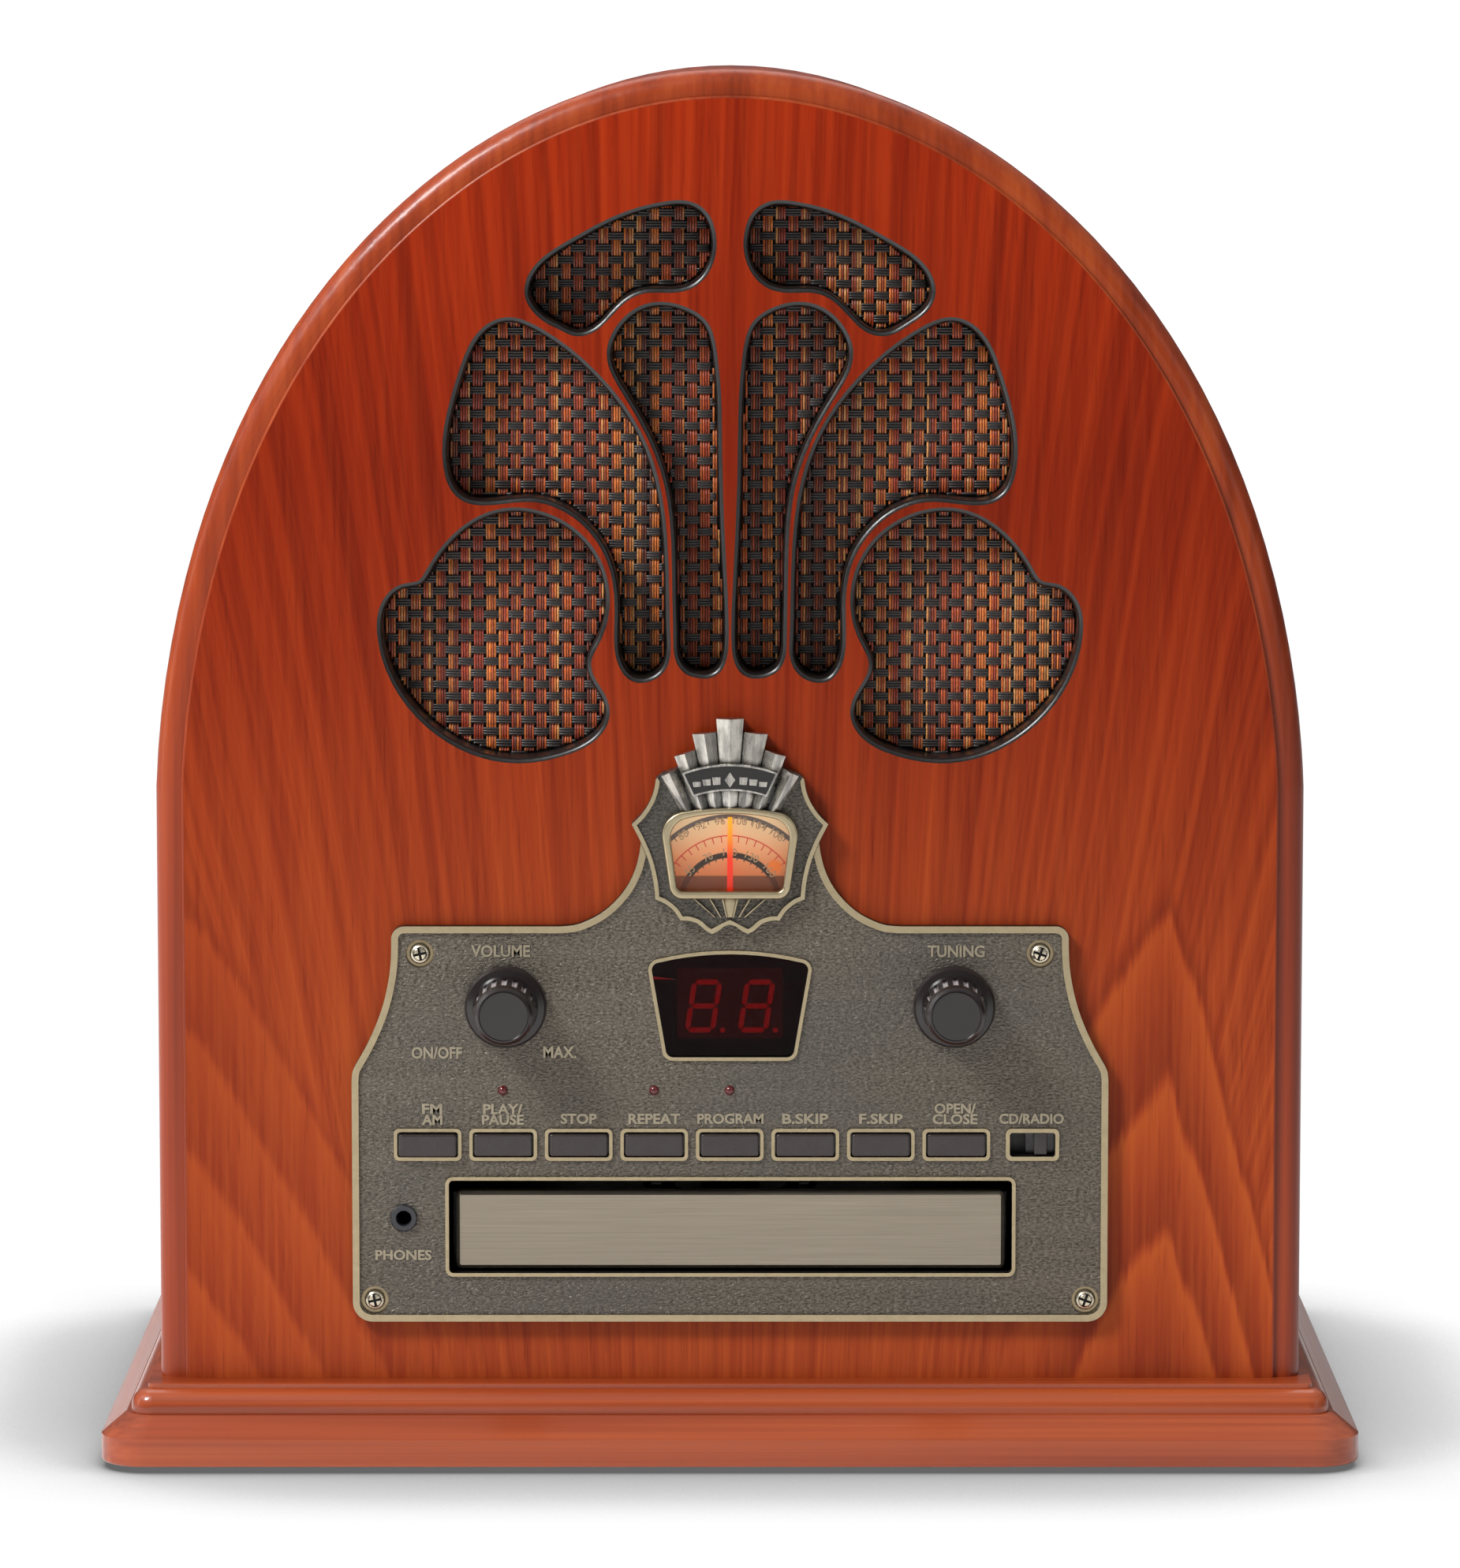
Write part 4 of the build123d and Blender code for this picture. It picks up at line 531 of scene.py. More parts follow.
def metal_with_patina_and_painted_shade(name, high, low, rough, reach=0.0016, rays=False):
    """Plating rubbed bright, darker in corners up to reach wide: partly patina, partly painted
    shade.
    """
    mat = Mat(name)
    mottle = mat.grain((500,) * 3, detail=3.0, rough=0.6)
    # patina and painted shade: darker where corners close in
    corners = mat.occlusion(reach, samples=8)
    color = mat.mix(corners.fade(0.40, 0.90), low, high)
    if rays:
        # painted reflections: dark bluish streaks along the sunburst's rays stand in for its dark
        # facets and shaded valleys; the top is made darker too
        x, _, z = mat.xyz()
        angle = mat.math("ARCTAN2", x, z - 0.118)
        lines = mat.noise(mat.vector(angle * 26.0, 0.0, z * 90.0), detail=3.0, rough=0.65)
        painted_ray_reflection_color = (high[0] * 0.16, high[1] * 0.17, high[2] * 0.20, 1)
        upper_color = (high[0] * 0.45, high[1] * 0.42, high[2] * 0.36, 1)
        color = mat.mix(lines.fade(0.40, 0.62) * 0.62, color, painted_ray_reflection_color)
        color = mat.mix(z.fade(0.158, 0.178) * 0.25, color, upper_color)
    color = mat.mix(mottle.fade(0.4, 0.8) * 0.10, color, low)
    mat.finish(color, mottle.fade(0.3, 0.7, first=rough - 0.03, last=rough + 0.05), metal=0.95,
               normal=mat.bump(mottle, strength=0.04, distance=0.00004))


def brushed_door():
    """Champagne metal of the CD tray door, brushed along x."""
    high, low = rgb(160, 150, 134), rgb(126, 117, 103)
    mat = Mat("door_champagne")
    fine = mat.grain((14, 1, 5200), detail=3.0, rough=0.6)
    coarse = mat.grain((35, 1, 1820), rough=0.6)
    lines = fine * 0.5 + coarse * 0.5
    broad = mat.grain((12, 12, 40))
    color = mat.ramp(lines, [(0.3, low), (0.7, high)])
    color = mat.mix(broad.fade(0.3, 0.7, last=0.25), color, low)
    mat.finish(color, lines.fade(0.3, 0.7, first=0.27, last=0.41), metal=0.85, anisotropic=0.5,
               normal=mat.bump(lines, strength=0.12, distance=0.00003))


leather_pewter("pewter_leather", high=rgb(124, 116, 105), low=rgb(60, 55, 48),
               scale_x=1050.0, scale_z=2300.0, strength=1.0, distance=0.00034)
leather_pewter("pewter_leather_dark", high=rgb(106, 100, 91), low=rgb(48, 45, 42),
               scale_x=1200, scale_z=2000, strength=0.8, distance=0.00022)
metal_with_patina_and_painted_shade("champagne_trim_mat", high=rgb(176, 162, 132), low=rgb(84, 70, 52), rough=0.30)
metal_with_patina_and_painted_shade("champagne_patina_and_painted_light", high=rgb(204, 200, 192), low=rgb(22, 19, 17), rough=0.24,
              reach=0.0018, rays=True)
metal_with_patina_and_painted_shade("champagne_rim", high=rgb(170, 155, 125), low=rgb(78, 64, 48), rough=0.30,
              reach=0.0008)
metal_with_patina_and_painted_shade("lettering_pewter", high=rgb(158, 148, 128), low=rgb(60, 53, 45), rough=0.34)
brushed_door()


# ------------------------------------------------- knobs, windows and dial
def knob_satin():
    """Near-black satin knob; the ends of its flutes that face up carry a painted highlight."""
    mat = Mat("knob_satin")
    x, y, z = mat.xyz()
    dx = abs(x) - KNOB_X / 1000
    dz = z - KNOB_Z / 1000
    radius = mat.length(dx, dz)
    turn = mat.math("ARCTAN2", dz, dx) / math.radians(20.0)     # flutes every 20 degrees
    part = abs((turn + 100.0).fraction() - 0.5)
    flute = (part.fade(0.30, 0.16) * radius.fade(0.0067, 0.0070) * radius.fade(0.0077, 0.0075)
             * y.fade(FACE_Y - 0.0178, FACE_Y - 0.0165) * y.fade(FACE_Y - 0.0080, FACE_Y - 0.0130))
    geometry = mat.value("ShaderNodeNewGeometry", {}, output="Normal")
    # painted highlight: the upward-facing flute ends are mixed towards near white
    lit = flute * mat.xyz(geometry)[2].fade(0.35, 0.95)
    mottle = mat.grain((900,) * 3, detail=3.0, rough=0.6)
    color = mat.mix(mottle, rgb(21, 13, 13), rgb(26, 17, 17))
    color = mat.mix(lit * 0.85, color, rgb(206, 198, 200))
    mat.finish(color, 0.28, normal=mat.bump(mottle, strength=0.04, distance=0.00003),
               coat=0.35, coat_rough=0.14, spec=0.4)


def clear_sheet(name, tint, rough, ior):
    """Thin clear sheet: tinted transparency under a Fresnel reflection."""
    mat = Mat(name)
    mottle = mat.grain((300,) * 3)
    through = mat.value("ShaderNodeBsdfTransparent", {"Color": tint})
    gloss_rough = mottle.fade(0.3, 0.7, first=rough, last=rough + 0.04)
    gloss = mat.value("ShaderNodeBsdfGlossy",
                      {"Color": (1, 1, 1, 1), "Roughness": gloss_rough})
    mat.surface(mat.mix_shader(mat.value("ShaderNodeFresnel", {"IOR": ior}), through, gloss))


def indicator_red():
    mat = Mat("indicator_red")
    color = mat.mix(mat.grain((1500,) * 3), rgb(56, 6, 8), rgb(96, 14, 14))
    mat.finish(color, 0.18, coat=0.5, coat_rough=0.05)


def pointer_red():
    """Glowing pointer, red at the foot and amber at the tip."""
    mat = Mat("pointer_red_mat")
    z = mat.xyz()[2]
    mottle = mat.grain((900,) * 3)
    color = mat.mix(z.fade(0.146, 0.157), rgb(226, 40, 12), rgb(250, 176, 30))
    color = mat.mix(mottle * 0.15, color, rgb(190, 40, 20))
    mat.finish(color, 0.4, emission_color=color, emission_strength=0.75)


def display_module():
    """Dark maroon digit display whose parts nearest the front glow brighter."""
    mat = Mat("display_module_mat")
    y = mat.xyz()[1]
    mottle = mat.grain((700,) * 3)
    segments = y.fade(FACE_Y + 0.00095, FACE_Y + 0.0009, smooth=False)
    color = mat.mix(mottle * 0.5, rgb(40, 5, 9), rgb(26, 3, 6))
    color = mat.mix(segments, color, rgb(120, 4, 12))
    glow = mat.mix(segments, rgb(66, 6, 12), rgb(186, 10, 30))
    mat.finish(color, 0.5, emission_color=glow, emission_strength=1.9)


# arcs round the pivot and the ticks at each, in metres:
# arc radius, arc half width, arc colour,
# tick inner radius, outer radius, step in degrees, half width, tick colour
DIAL_SCALES = [
    (0.0213, 0.00055, (96, 84, 84), 0.0199, 0.0212, 5.0, 0.00010, (62, 54, 52)),
    (0.0166, 0.00014, (196, 44, 30), 0.0150, 0.0166, 7.5, 0.00012, (196, 44, 30)),
    (0.0119, 0.00070, (40, 28, 26), 0.0107, 0.0119, 9.0, 0.00012, (40, 32, 32)),
]
ARC_BLUR, TICK_BLUR = 0.00012, 0.00006       # half widths of the printed edges


def tick_mask(radius, angle, inner, outer, step, half_width):
    """Radial ticks every step degrees between two radii."""
    step = math.radians(step)
    part = abs((angle / step + 100.5).fraction() - 0.5)
    ticks = (part * step * radius).fade(half_width + TICK_BLUR, half_width - TICK_BLUR)
    band = (radius.fade(inner - TICK_BLUR, inner + TICK_BLUR)
            * radius.fade(outer + TICK_BLUR, outer - TICK_BLUR))
    return ticks * band


def dial_print():
    """Printed dial, peach to cream, with scales and a dark band at the foot."""
    mat = Mat("dial_print_mat")
    x, _, z = mat.xyz()
    above_pivot = z - PIVOT_Z
    radius = mat.length(x, above_pivot)
    angle = mat.math("ARCTAN2", x, above_pivot)
    mottle = mat.grain((400,) * 3, detail=3.0, rough=0.6)
    base = mat.ramp(z.fade(0.142, 0.158), [
        (0.0, rgb(206, 120, 76)), (0.40, rgb(226, 160, 120)), (1.0, rgb(236, 206, 170))])
    color = mat.mix(mottle * 0.12, base, rgb(190, 120, 80))
    for arc, half, arc_rgb, inner, outer, step, tick_half, tick_rgb in DIAL_SCALES:
        line = abs(radius - arc).fade(half + ARC_BLUR, half - ARC_BLUR)
        color = mat.mix(line, color, rgb(*arc_rgb))
        ticks = tick_mask(radius, angle, inner, outer, step, tick_half)
        color = mat.mix(ticks, color, rgb(*tick_rgb))
    spot = mat.length(x - 0.0107, z - 0.1450)        # orange spot low on the right
    color = mat.mix(spot.fade(0.0022, 0.0012), color, rgb(232, 120, 50))
    color = mat.mix(z.fade(0.1430, 0.1427) * 0.85, color, rgb(96, 48, 30))
    mat.finish(color, 0.45, emission_color=color, emission_strength=0.50)


def dial_numerals():
    mat = Mat("dial_numerals")
    color = mat.mix(mat.grain((900,) * 3), rgb(178, 150, 122), rgb(150, 122, 98))
    mat.finish(color, 0.6, emission_color=color, emission_strength=0.5)


def woven_thread():
    """Thread coloured by the weave's tone attribute."""
    mat = Mat("woven_thread")
    tone = mat.value("ShaderNodeAttribute", {}, output="Color", attribute_name="tone")
    fine = mat.grain((1800, 500, 900), detail=3.0, rough=0.6)
    painted_shade_patch = mat.grain((26, 1, 26))
    color = mat.mix(fine.fade(0.3, 0.75, last=0.45), tone, (0.02, 0.008, 0.004, 1))
    # painted shade: broad patches are darkened, for the lit and shadowed places of the bulging
    # cloth
    color = mat.mix(painted_shade_patch.fade(0.35, 0.7, last=0.30), color,
                    mat.mix(0.5, color, (0.01, 0.005, 0.003, 1)))
    mat.finish(color, 0.40, normal=mat.bump(fine, strength=0.35, distance=0.00012),
               spec=0.6, sheen_weight=0.1)


knob_satin()
clear_sheet("clear_lens_mat", tint=(0.97, 0.95, 0.90, 1), rough=0.03, ior=1.22)
clear_sheet("smoked_window_mat", tint=(0.34, 0.05, 0.06, 1), rough=0.04, ior=1.15)
indicator_red()
pointer_red()
display_module()
dial_print()
dial_numerals()
woven_thread()

# -------------------------------------------------- finishes of the pieces
BUTTONS = ["band_button", "play_button", "stop_button", "repeat_button", "program_button",
           "skip_back_button", "skip_forward_button", "open_button"]

# material and the pieces made of it; any piece not listed is black plastic
FINISHES = {
    "rubber_mat": ["base_feet", "power_cord", "antenna_wire"],
    "shell_veneer": ["cabinet_shell"],
    "plain_timber_mat": ["rear_frame"],
    "hardboard_mat": ["back_cover"],
    "nickel_screw": ["back_screws", "speaker_screws"],
    "backing_black": ["grille_cloth", "speaker_baffle"],
    "stamped_steel_mat": ["speaker_frames", "dial_bracket", "volume_control",
                          "cd_clamp_bridge", "cd_traverse"],
    "paper_cone_mat": ["speaker_cones"],
    "ferrite_mat": ["speaker_magnets"],
    "champagne_patina_and_painted_light": ["sunburst_crest"],
    "champagne_trim_mat": ["dial_bezel"],
    "clear_lens_mat": ["dial_lens"],
    "dial_print_mat": ["dial_scale"],
    "pointer_red_mat": ["dial_pointer"],
    "cream_plastic_mat": ["pointer_drum", "dial_lamp", "cd_loading_gear"],
    "drive_cord_mat": ["dial_cord"],
    "bright_steel_mat": ["tuning_capacitor", "tuning_shaft"],
    "knob_satin": ["tuning_knob", "volume_knob"],
    "smoked_window_mat": ["display_window"],
    "display_module_mat": ["display_module"],
    "indicator_red": ["indicator_leds"],
    "circuit_board_mat": ["control_board"],
    "door_champagne": ["cd_tray_door"],
    "button_satin": ["selector_slider"] + BUTTONS,
}
finish_of = {piece: name for name, pieces in FINISHES.items() for piece in pieces}
for piece, ob in NODES.items():
    ob.data.materials.clear()
    ob.data.materials.append(MATERIALS[finish_of.get(piece, "black_plastic_mat")])


def paint(piece, materials, rule):
    """Gives each face one of the named materials.

    rule takes the faces' centres and normals, each as rows x, y, z, and
    returns a material slot for every face.
    """
    mesh = NODES[piece].data
    mesh.materials.clear()
    for name in materials:
        mesh.materials.append(MATERIALS[name])
    rows = []
    for field in ("center", "normal"):
        flat = np.zeros(len(mesh.polygons) * 3, np.float32)
        mesh.polygons.foreach_get(field, flat)
        rows.append(flat.reshape(-1, 3).astype(float).T)
    mesh.polygons.foreach_set("material_index", rule(*rows).astype(np.int32))
    mesh.update()


def panel_rule(centre, normal):
    """0 veneer on the flat, 1 edge moulding, 2 walls of the openings, 3 the rest."""
    x, y, z = centre
    edge = line_distance(x, z, np.array(mirrored(ARCH)) / 1000.0, closed=False)
    flat = normal[1] < -0.999
    slots = np.full(len(x), 3)
    slots[edge < 0.0085] = 1
    slots[flat & (edge > 0.0056) & (y < FACE_Y + 0.0001)] = 0
    slots[~flat & (edge > 0.012) & (z > 0.166) & (normal[1] < 0.9)] = 2
    slots[normal[1] > 0.9] = 3
    return slots


def plate_rule(centre, normal):
    """0 leather field, 1 raised rims and the rings round the screws, 2 walls, painted near black as
    shade.
    """
    x, y, z = centre
    slots = np.full(len(x), 2)
    slots[(normal[1] < -0.9) & (np.abs(y - FIELD_Y) < 0.0002)] = 0
    slots[y < FACE_Y - 0.0026] = 1
    slots[screw_area(x, z, 0.0036) & (y < FACE_Y - 0.0014)] = 1
    return slots


def crest_rule(centre, normal):
    """1 on the flat ground of the plaque."""
    ground = np.abs(centre[1] - (FACE_Y - 0.0080)) < 0.00005
    return np.where((normal[1] < -0.9) & ground, 1, 0)


def screw_rule(centre, normal):
    """1 in the recesses of the heads, painted near black as shade."""
    x, y, z = centre
    return np.where(screw_area(x, z, 0.0017) & (y > FACE_Y - 0.0031), 1, 0)


def board_rule(centre, normal):
    """0 the board, 1 the blue parts left of the middle, 2 the other parts."""
    parts = np.where(np.abs(centre[0] + 0.03) < 0.008, 1, 2)
    return np.where(centre[2] < 0.0262, 0, parts)


paint("front_panel", ["veneer_front", "moulding", "black_satin_paint", "plain_timber_mat"],
      panel_rule)
paint("base_plinth", ["plinth_long", "plinth_side"],
      lambda centre, normal: np.where(np.abs(normal[0]) > np.abs(normal[1]) + 0.3, 1, 0))
paint("faceplate", ["pewter_leather", "champagne_rim", "pewter_walls_painted_shade"], plate_rule)
paint("escutcheon", ["pewter_leather_dark", "champagne_trim_mat"],
      lambda centre, normal: np.where(centre[1] < FACE_Y - 0.0042, 1, 0))
paint("crest_plaque", ["champagne_patina_and_painted_light", "black_satin_paint"], crest_rule)
paint("faceplate_screws", ["nickel_screw", "screw_recess_painted_shade"], screw_rule)
paint("headphone_jack", ["jack_black", "black_plastic_mat"],
      lambda centre, normal: np.where(centre[1] > FACE_Y, 1, 0))
paint("transformer", ["stamped_steel_mat", "capacitor_can_mat"],
      lambda centre, normal: np.where(np.abs(normal[2]) > 0.9, 0, 1))
paint("main_board", ["circuit_board_mat", "capacitor_can_mat", "black_plastic_mat"], board_rule)


# ----------------------------------------------------------- soft edges
def soften(piece, width, segments=2):
    """Welds the piece and rounds its sharp edges."""
    ob = NODES[piece]
    weld = ob.modifiers.new("weld", "WELD")
    weld.merge_threshold = 2e-6
    bevel = ob.modifiers.new("soft_edges", "BEVEL")
    bevel.width = width
    bevel.segments = segments
    bevel.limit_method = "ANGLE"
    bevel.angle_limit = math.radians(35.0)
    bevel.harden_normals = False
    bevel.use_clamp_overlap = True
    for face in ob.data.polygons:
        face.use_smooth = False


# bevel widths
EDGE_WIDTHS = {
    "faceplate": 0.00038, "escutcheon": 0.00030, "dial_bezel": 0.00015,
    "crest_plaque": 0.00009, "sunburst_crest": 0.00010, "cd_tray_door": 0.00015,
    "selector_slider": 0.00015,
}
for piece, width in EDGE_WIDTHS.items():
    soften(piece, width)
for button in BUTTONS:
    soften(button, width=0.00045, segments=3)


def add_skin(name, verts, faces, material):
    """Adds a smooth-shaded mesh that rides on the cabinet."""
    mesh = bpy.data.meshes.new(name)
    mesh.from_pydata(verts, [], faces)
    mesh.materials.append(MATERIALS[material])
    mesh.polygons.foreach_set("use_smooth", [True] * len(mesh.polygons))
    mesh.update()
    ob = bpy.data.objects.new(name, mesh)
    bpy.context.scene.collection.objects.link(ob)
    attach(ob, "cabinet")
    return ob


# ------------------------------------------------------------ woven cloth
PITCH_X, PITCH_Z = 0.00304, 0.00285          # spacing of the warp and weft groups
STEPS = 6                                    # points along a strand per pitch
FILAMENT_GAP = 0.00062                       # spacing of the filaments in a group
WEAVE_HALF = 0.086                           # half width of the woven area
WEAVE_Z0, WEAVE_Z1 = 0.1705, 0.3045          # foot and top of the woven area
WEAVE_Y = CLOTH_Y - 0.00036                  # where the lowest strands lie
EDGE_GAP = 0.00018                           # gap between strand ends and an opening's edge
WAVE_BIAS = 0.38                             # shortens the warp's crests, lengthens the weft's
WARP_COLORS = [rgb(204, 92, 26), rgb(160, 52, 18), rgb(206, 118, 48), rgb(132, 50, 20),
               rgb(214, 146, 80), rgb(176, 72, 20), rgb(104, 40, 16), rgb(222, 118, 40)]
WEFT_COLOR = (0.010, 0.007, 0.006, 1.0)
# strand section: across and depth, in half widths and half thicknesses
SECTION = [(-1.0, 0.15), (-0.72, -0.70), (0.0, -1.0), (0.72, -0.70), (1.0, 0.15), (0.0, 0.55)]


class Weave:
    """Collects the strands' tubes and the tone of each vertex."""

    def __init__(self):
        self.verts, self.faces, self.tones = [], [], []

    def add_run(self, points, half_width, half_thick, color, upright):
        """Closed tube of the strand section along at least three points."""
        if len(points) < 3:
            return
        first = len(self.verts)
        for x, y, z in points:
            for across, depth in SECTION:
                side = across * half_width
                self.verts.append((x + side if upright else x, y + depth * half_thick,
                                   z if upright else z + side))
                self.tones.append(color)
        sides = len(SECTION)
        last = first + (len(points) - 1) * sides
        faces = []
        for ring in range(first, last, sides):
            for j in range(sides):
                k = (j + 1) % sides
                faces.append((ring + j, ring + k, ring + sides + k, ring + sides + j))
        faces.append(tuple(range(first, first + sides))[::-1])
        faces.append(tuple(range(last, last + sides)))
        self.faces += faces if upright else [face[::-1] for face in faces]

    def add_strand(self, x, y, z, **look):
        """Adds only the lengths of a strand seen through the openings."""
        seen = hole_depth(x, z) > EDGE_GAP
        run = []
        for point, shown in zip(np.stack([x, y, z], 1).tolist(), seen):
            if shown:
                run.append(point)
            elif run:
                self.add_run(run, **look)
                run = []
        self.add_run(run, **look)


def drift_along(places, noise_point):
    """Slow noise along a strand, sampled once a pitch and joined by straight lines."""
    samples = [mnoise.noise(Vector(noise_point(float(place)))) for place in places[::STEPS]]
    return np.interp(np.arange(len(places)), np.arange(0, len(places), STEPS), samples)


def lift(wave):
    """Turns a wave into a strand's height, with flattened crests and hollows."""
    return np.clip(np.sign(wave) * np.abs(wave) ** 0.6 * 0.5 + 0.5, 0, 2)


def add_warp(weave, rnd):
    """Upright groups of four coloured filaments."""
    groups = int(WEAVE_HALF / PITCH_X) + 1
    heights = np.arange(WEAVE_Z0, WEAVE_Z1, PITCH_Z / STEPS)
    for i in range(-groups, groups + 1):
        favourite = rnd.choice(WARP_COLORS)
        colors = []
        for _ in range(4):
            color = favourite if rnd.random() < 0.35 else rnd.choice(WARP_COLORS)
            colors.append(shaded(color, rnd.uniform(0.70, 1.20)))
        for f, color in enumerate(colors):
            from_middle = f - 1.5
            x = i * PITCH_X + from_middle * FILAMENT_GAP
            z = heights + rnd.uniform(-0.0001, 0.0001)
            drift = drift_along(z, lambda place: (x * 90, 0, place * 40))
            swell = 1.0 + 0.35 * drift
            rounding = 1.0 - 0.25 * abs(from_middle) / 1.5
            wave = np.cos(np.pi * (z / PITCH_Z + i)) - WAVE_BIAS
            y = WEAVE_Y - 0.00056 * lift(wave) * swell * rounding
            weave.add_strand(x + 0.00016 * drift, y, z, half_width=0.00029,
                             half_thick=0.00024, color=color, upright=True)


def add_weft(weave, rnd):
    """Level groups of three black filaments, proud where the warp dips."""
    x = np.arange(-WEAVE_HALF, WEAVE_HALF, PITCH_X / STEPS)
    for j in range(int(WEAVE_Z0 / PITCH_Z) - 1, int(WEAVE_Z1 / PITCH_Z) + 2):
        for f in range(3):
            z = j * PITCH_Z + (f - 1) * FILAMENT_GAP
            drift = drift_along(x, lambda place: (place * 40, 3.0, z * 90))
            wave = -np.cos(np.pi * (x / PITCH_X + j)) + WAVE_BIAS
            y = WEAVE_Y - 0.00048 * lift(wave)
            weave.add_strand(x, y, z + 0.00012 * drift, half_width=0.00033,
                             half_thick=0.00023, color=shaded(WEFT_COLOR, rnd.uniform(0.6, 1.8)),
                             upright=False)


def grille_weave():
    """Plain weave in front of the backing cloth."""
    rnd = random.Random(11)
    weave = Weave()
    add_warp(weave, rnd)
    add_weft(weave, rnd)
    ob = add_skin("grille_weave", weave.verts, weave.faces, "woven_thread")
    tone = ob.data.color_attributes.new(name="tone", type="FLOAT_COLOR", domain="POINT")
    tone.data.foreach_set("color", np.array(weave.tones, np.float32).ravel())


grille_weave()

# -------------------------------------------------------- raised lettering
# the built-in font may not be loaded yet
if "Bfont" in bpy.data.fonts:
    FONT = bpy.data.fonts["Bfont"]
else:
    FONT = bpy.data.fonts.load("<builtin>")


def text_mesh(name, curve):
    """Mesh of a text curve, made through a temporary object."""
    ob = bpy.data.objects.new(name + "_tmp", curve)
    bpy.context.scene.collection.objects.link(ob)
    bpy.context.view_layer.update()
    graph = bpy.context.evaluated_depsgraph_get()
    mesh = bpy.data.meshes.new_from_object(ob.evaluated_get(graph))
    bpy.data.objects.remove(ob)
    return mesh


def add_label(name, text, x, y, z, height, width, depth, material, bold, angle=0.0):
    """Raised text centred on x, z and standing forward from y.

    angle turns it clockwise seen from the front; bold thickens the strokes.
    """
    curve = bpy.data.curves.new(name + "_cu", "FONT")
    curve.body = text
    curve.font = FONT
    curve.align_x = "CENTER"
    curve.resolution_u = 3
    # the flat, unthickened letters give the natural size
    mesh = text_mesh(name, curve)
    corners = np.array([v.co for v in mesh.vertices]).reshape(-1, 3)
    bpy.data.meshes.remove(mesh)
    left, foot = corners[:, 0].min(), corners[:, 1].min()
    right, top = corners[:, 0].max(), corners[:, 1].max()

    curve.extrude = 0.5
    curve.offset = bold * (top - foot) / height
    mesh = text_mesh(name, curve)
    scale_x = width / (right - left)
    scale_z = height / (top - foot)
    cos_a, sin_a = math.cos(angle), math.sin(angle)
    for v in mesh.vertices:
        across = (v.co.x - (left + right) / 2) * scale_x
        up = (v.co.y - (foot + top) / 2) * scale_z
        v.co = (x + across * cos_a + up * sin_a,
                y + 0.00004 - depth * (v.co.z + 0.5),
                z - across * sin_a + up * cos_a)
    mesh.name = name
    mesh.materials.clear()
    mesh.materials.append(MATERIALS[material])
    for face in mesh.polygons:
        face.use_smooth = False
    mesh.update()
    ob = bpy.data.objects.new(name, mesh)
    bpy.context.scene.collection.objects.link(ob)
    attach(ob, "cabinet")


# faceplate labels: name, text, centre x, centre z, width in millimetres
PLATE_LABELS = [
    ("volume", "VOLUME", -55.3, 124.9, 14.0), ("tuning", "TUNING", 54.5, 124.85, 13.6),
    ("on_off", "ON/OFF", -70.8, 100.1, 12.0), ("max", "MAX.", -41.1, 100.25, 7.8),
    ("fm", "FM", -72.0, 86.4, 4.6), ("am", "AM", -72.0, 83.75, 4.7),
    ("play", "PLAY/", -54.9, 86.35, 9.3), ("pause", "PAUSE", -54.9, 83.75, 9.9),
    ("stop", "STOP", -36.6, 84.0, 8.5), ("repeat", "REPEAT", -18.3, 84.0, 12.3),
    ("program", "PROGRAM", 0.1, 84.0, 15.8), ("b_skip", "B.SKIP", 18.2, 84.0, 10.9),
    ("f_skip", "F.SKIP", 36.5, 84.0, 10.3), ("open", "OPEN/", 54.4, 86.5, 9.8),
    ("close", "CLOSE", 54.4, 83.9, 10.6), ("cd_radio", "CD/RADIO", 72.9, 84.0, 15.4),
    ("phones", "PHONES", -79.1, 50.6, 13.4),
]
for name, text, x, z, width in PLATE_LABELS:
    add_label("label_" + name, text, x / 1000, FIELD_Y - 0.00012, z / 1000,
              height=0.00275 if z > 95 else 0.00235,     # larger round the knobs
              width=width / 1000, depth=0.00022, material="lettering_pewter", bold=0.00010)

# dial numerals: name, texts, first angle and step in degrees, radius, height,
# width by digit count
DIAL_NUMERALS = [
    ("fm", ["88", "92", "96", "100", "104", "108"], -34, 13.6, 0.0203, 0.0019,
     {2: 0.0024, 3: 0.0034}),
    ("am", ["55", "70", "100", "130", "160"], -50, 25, 0.0126, 0.0018, {2: 0.0022, 3: 0.0033}),
]
for band, texts, first, step, radius, height, widths in DIAL_NUMERALS:
    for k, text in enumerate(texts):
        angle = math.radians(first + step * k)
        add_label(f"dial_{band}_{k}", text, radius * math.sin(angle), DIAL_Y,
                  PIVOT_Z + radius * math.cos(angle), height=height, width=widths[len(text)],
                  depth=0.00005, material="dial_numerals", bold=0.00002, angle=angle)

# ------------------------------------------------ leather grain on the plate
GRAIN_X, GRAIN_Z = 0.00034, 0.00030          # grid spacing of the relief skin
TUCK = 0.00035                               # how far the skin runs into an opening
BUTTON_X, BUTTON_PITCH, BUTTON_Z = -0.0731, 0.01826, 0.07769
# rectangular openings: centre x, centre z, half width, half height
PLATE_SLOTS = [(BUTTON_X + BUTTON_PITCH * i, BUTTON_Z, 0.00818, 0.00392) for i in range(8)] + [
    (0.07315, BUTTON_Z, 0.00645, 0.00392),
    (0.0001, 0.05757, 0.06902, 0.01222)]
# round openings: x, z, radius in millimetres
PLATE_HOLES = [(x, z, 3.4) for x, z in SCREWS] + [
    (-54.9, 90.9, 1.2), (-18.35, 90.9, 1.2), (-0.1, 90.9, 1.2),
    (-KNOB_X, KNOB_Z, 9.2), (KNOB_X, KNOB_Z, 9.2), (-78.96, 59.7, 3.0)]


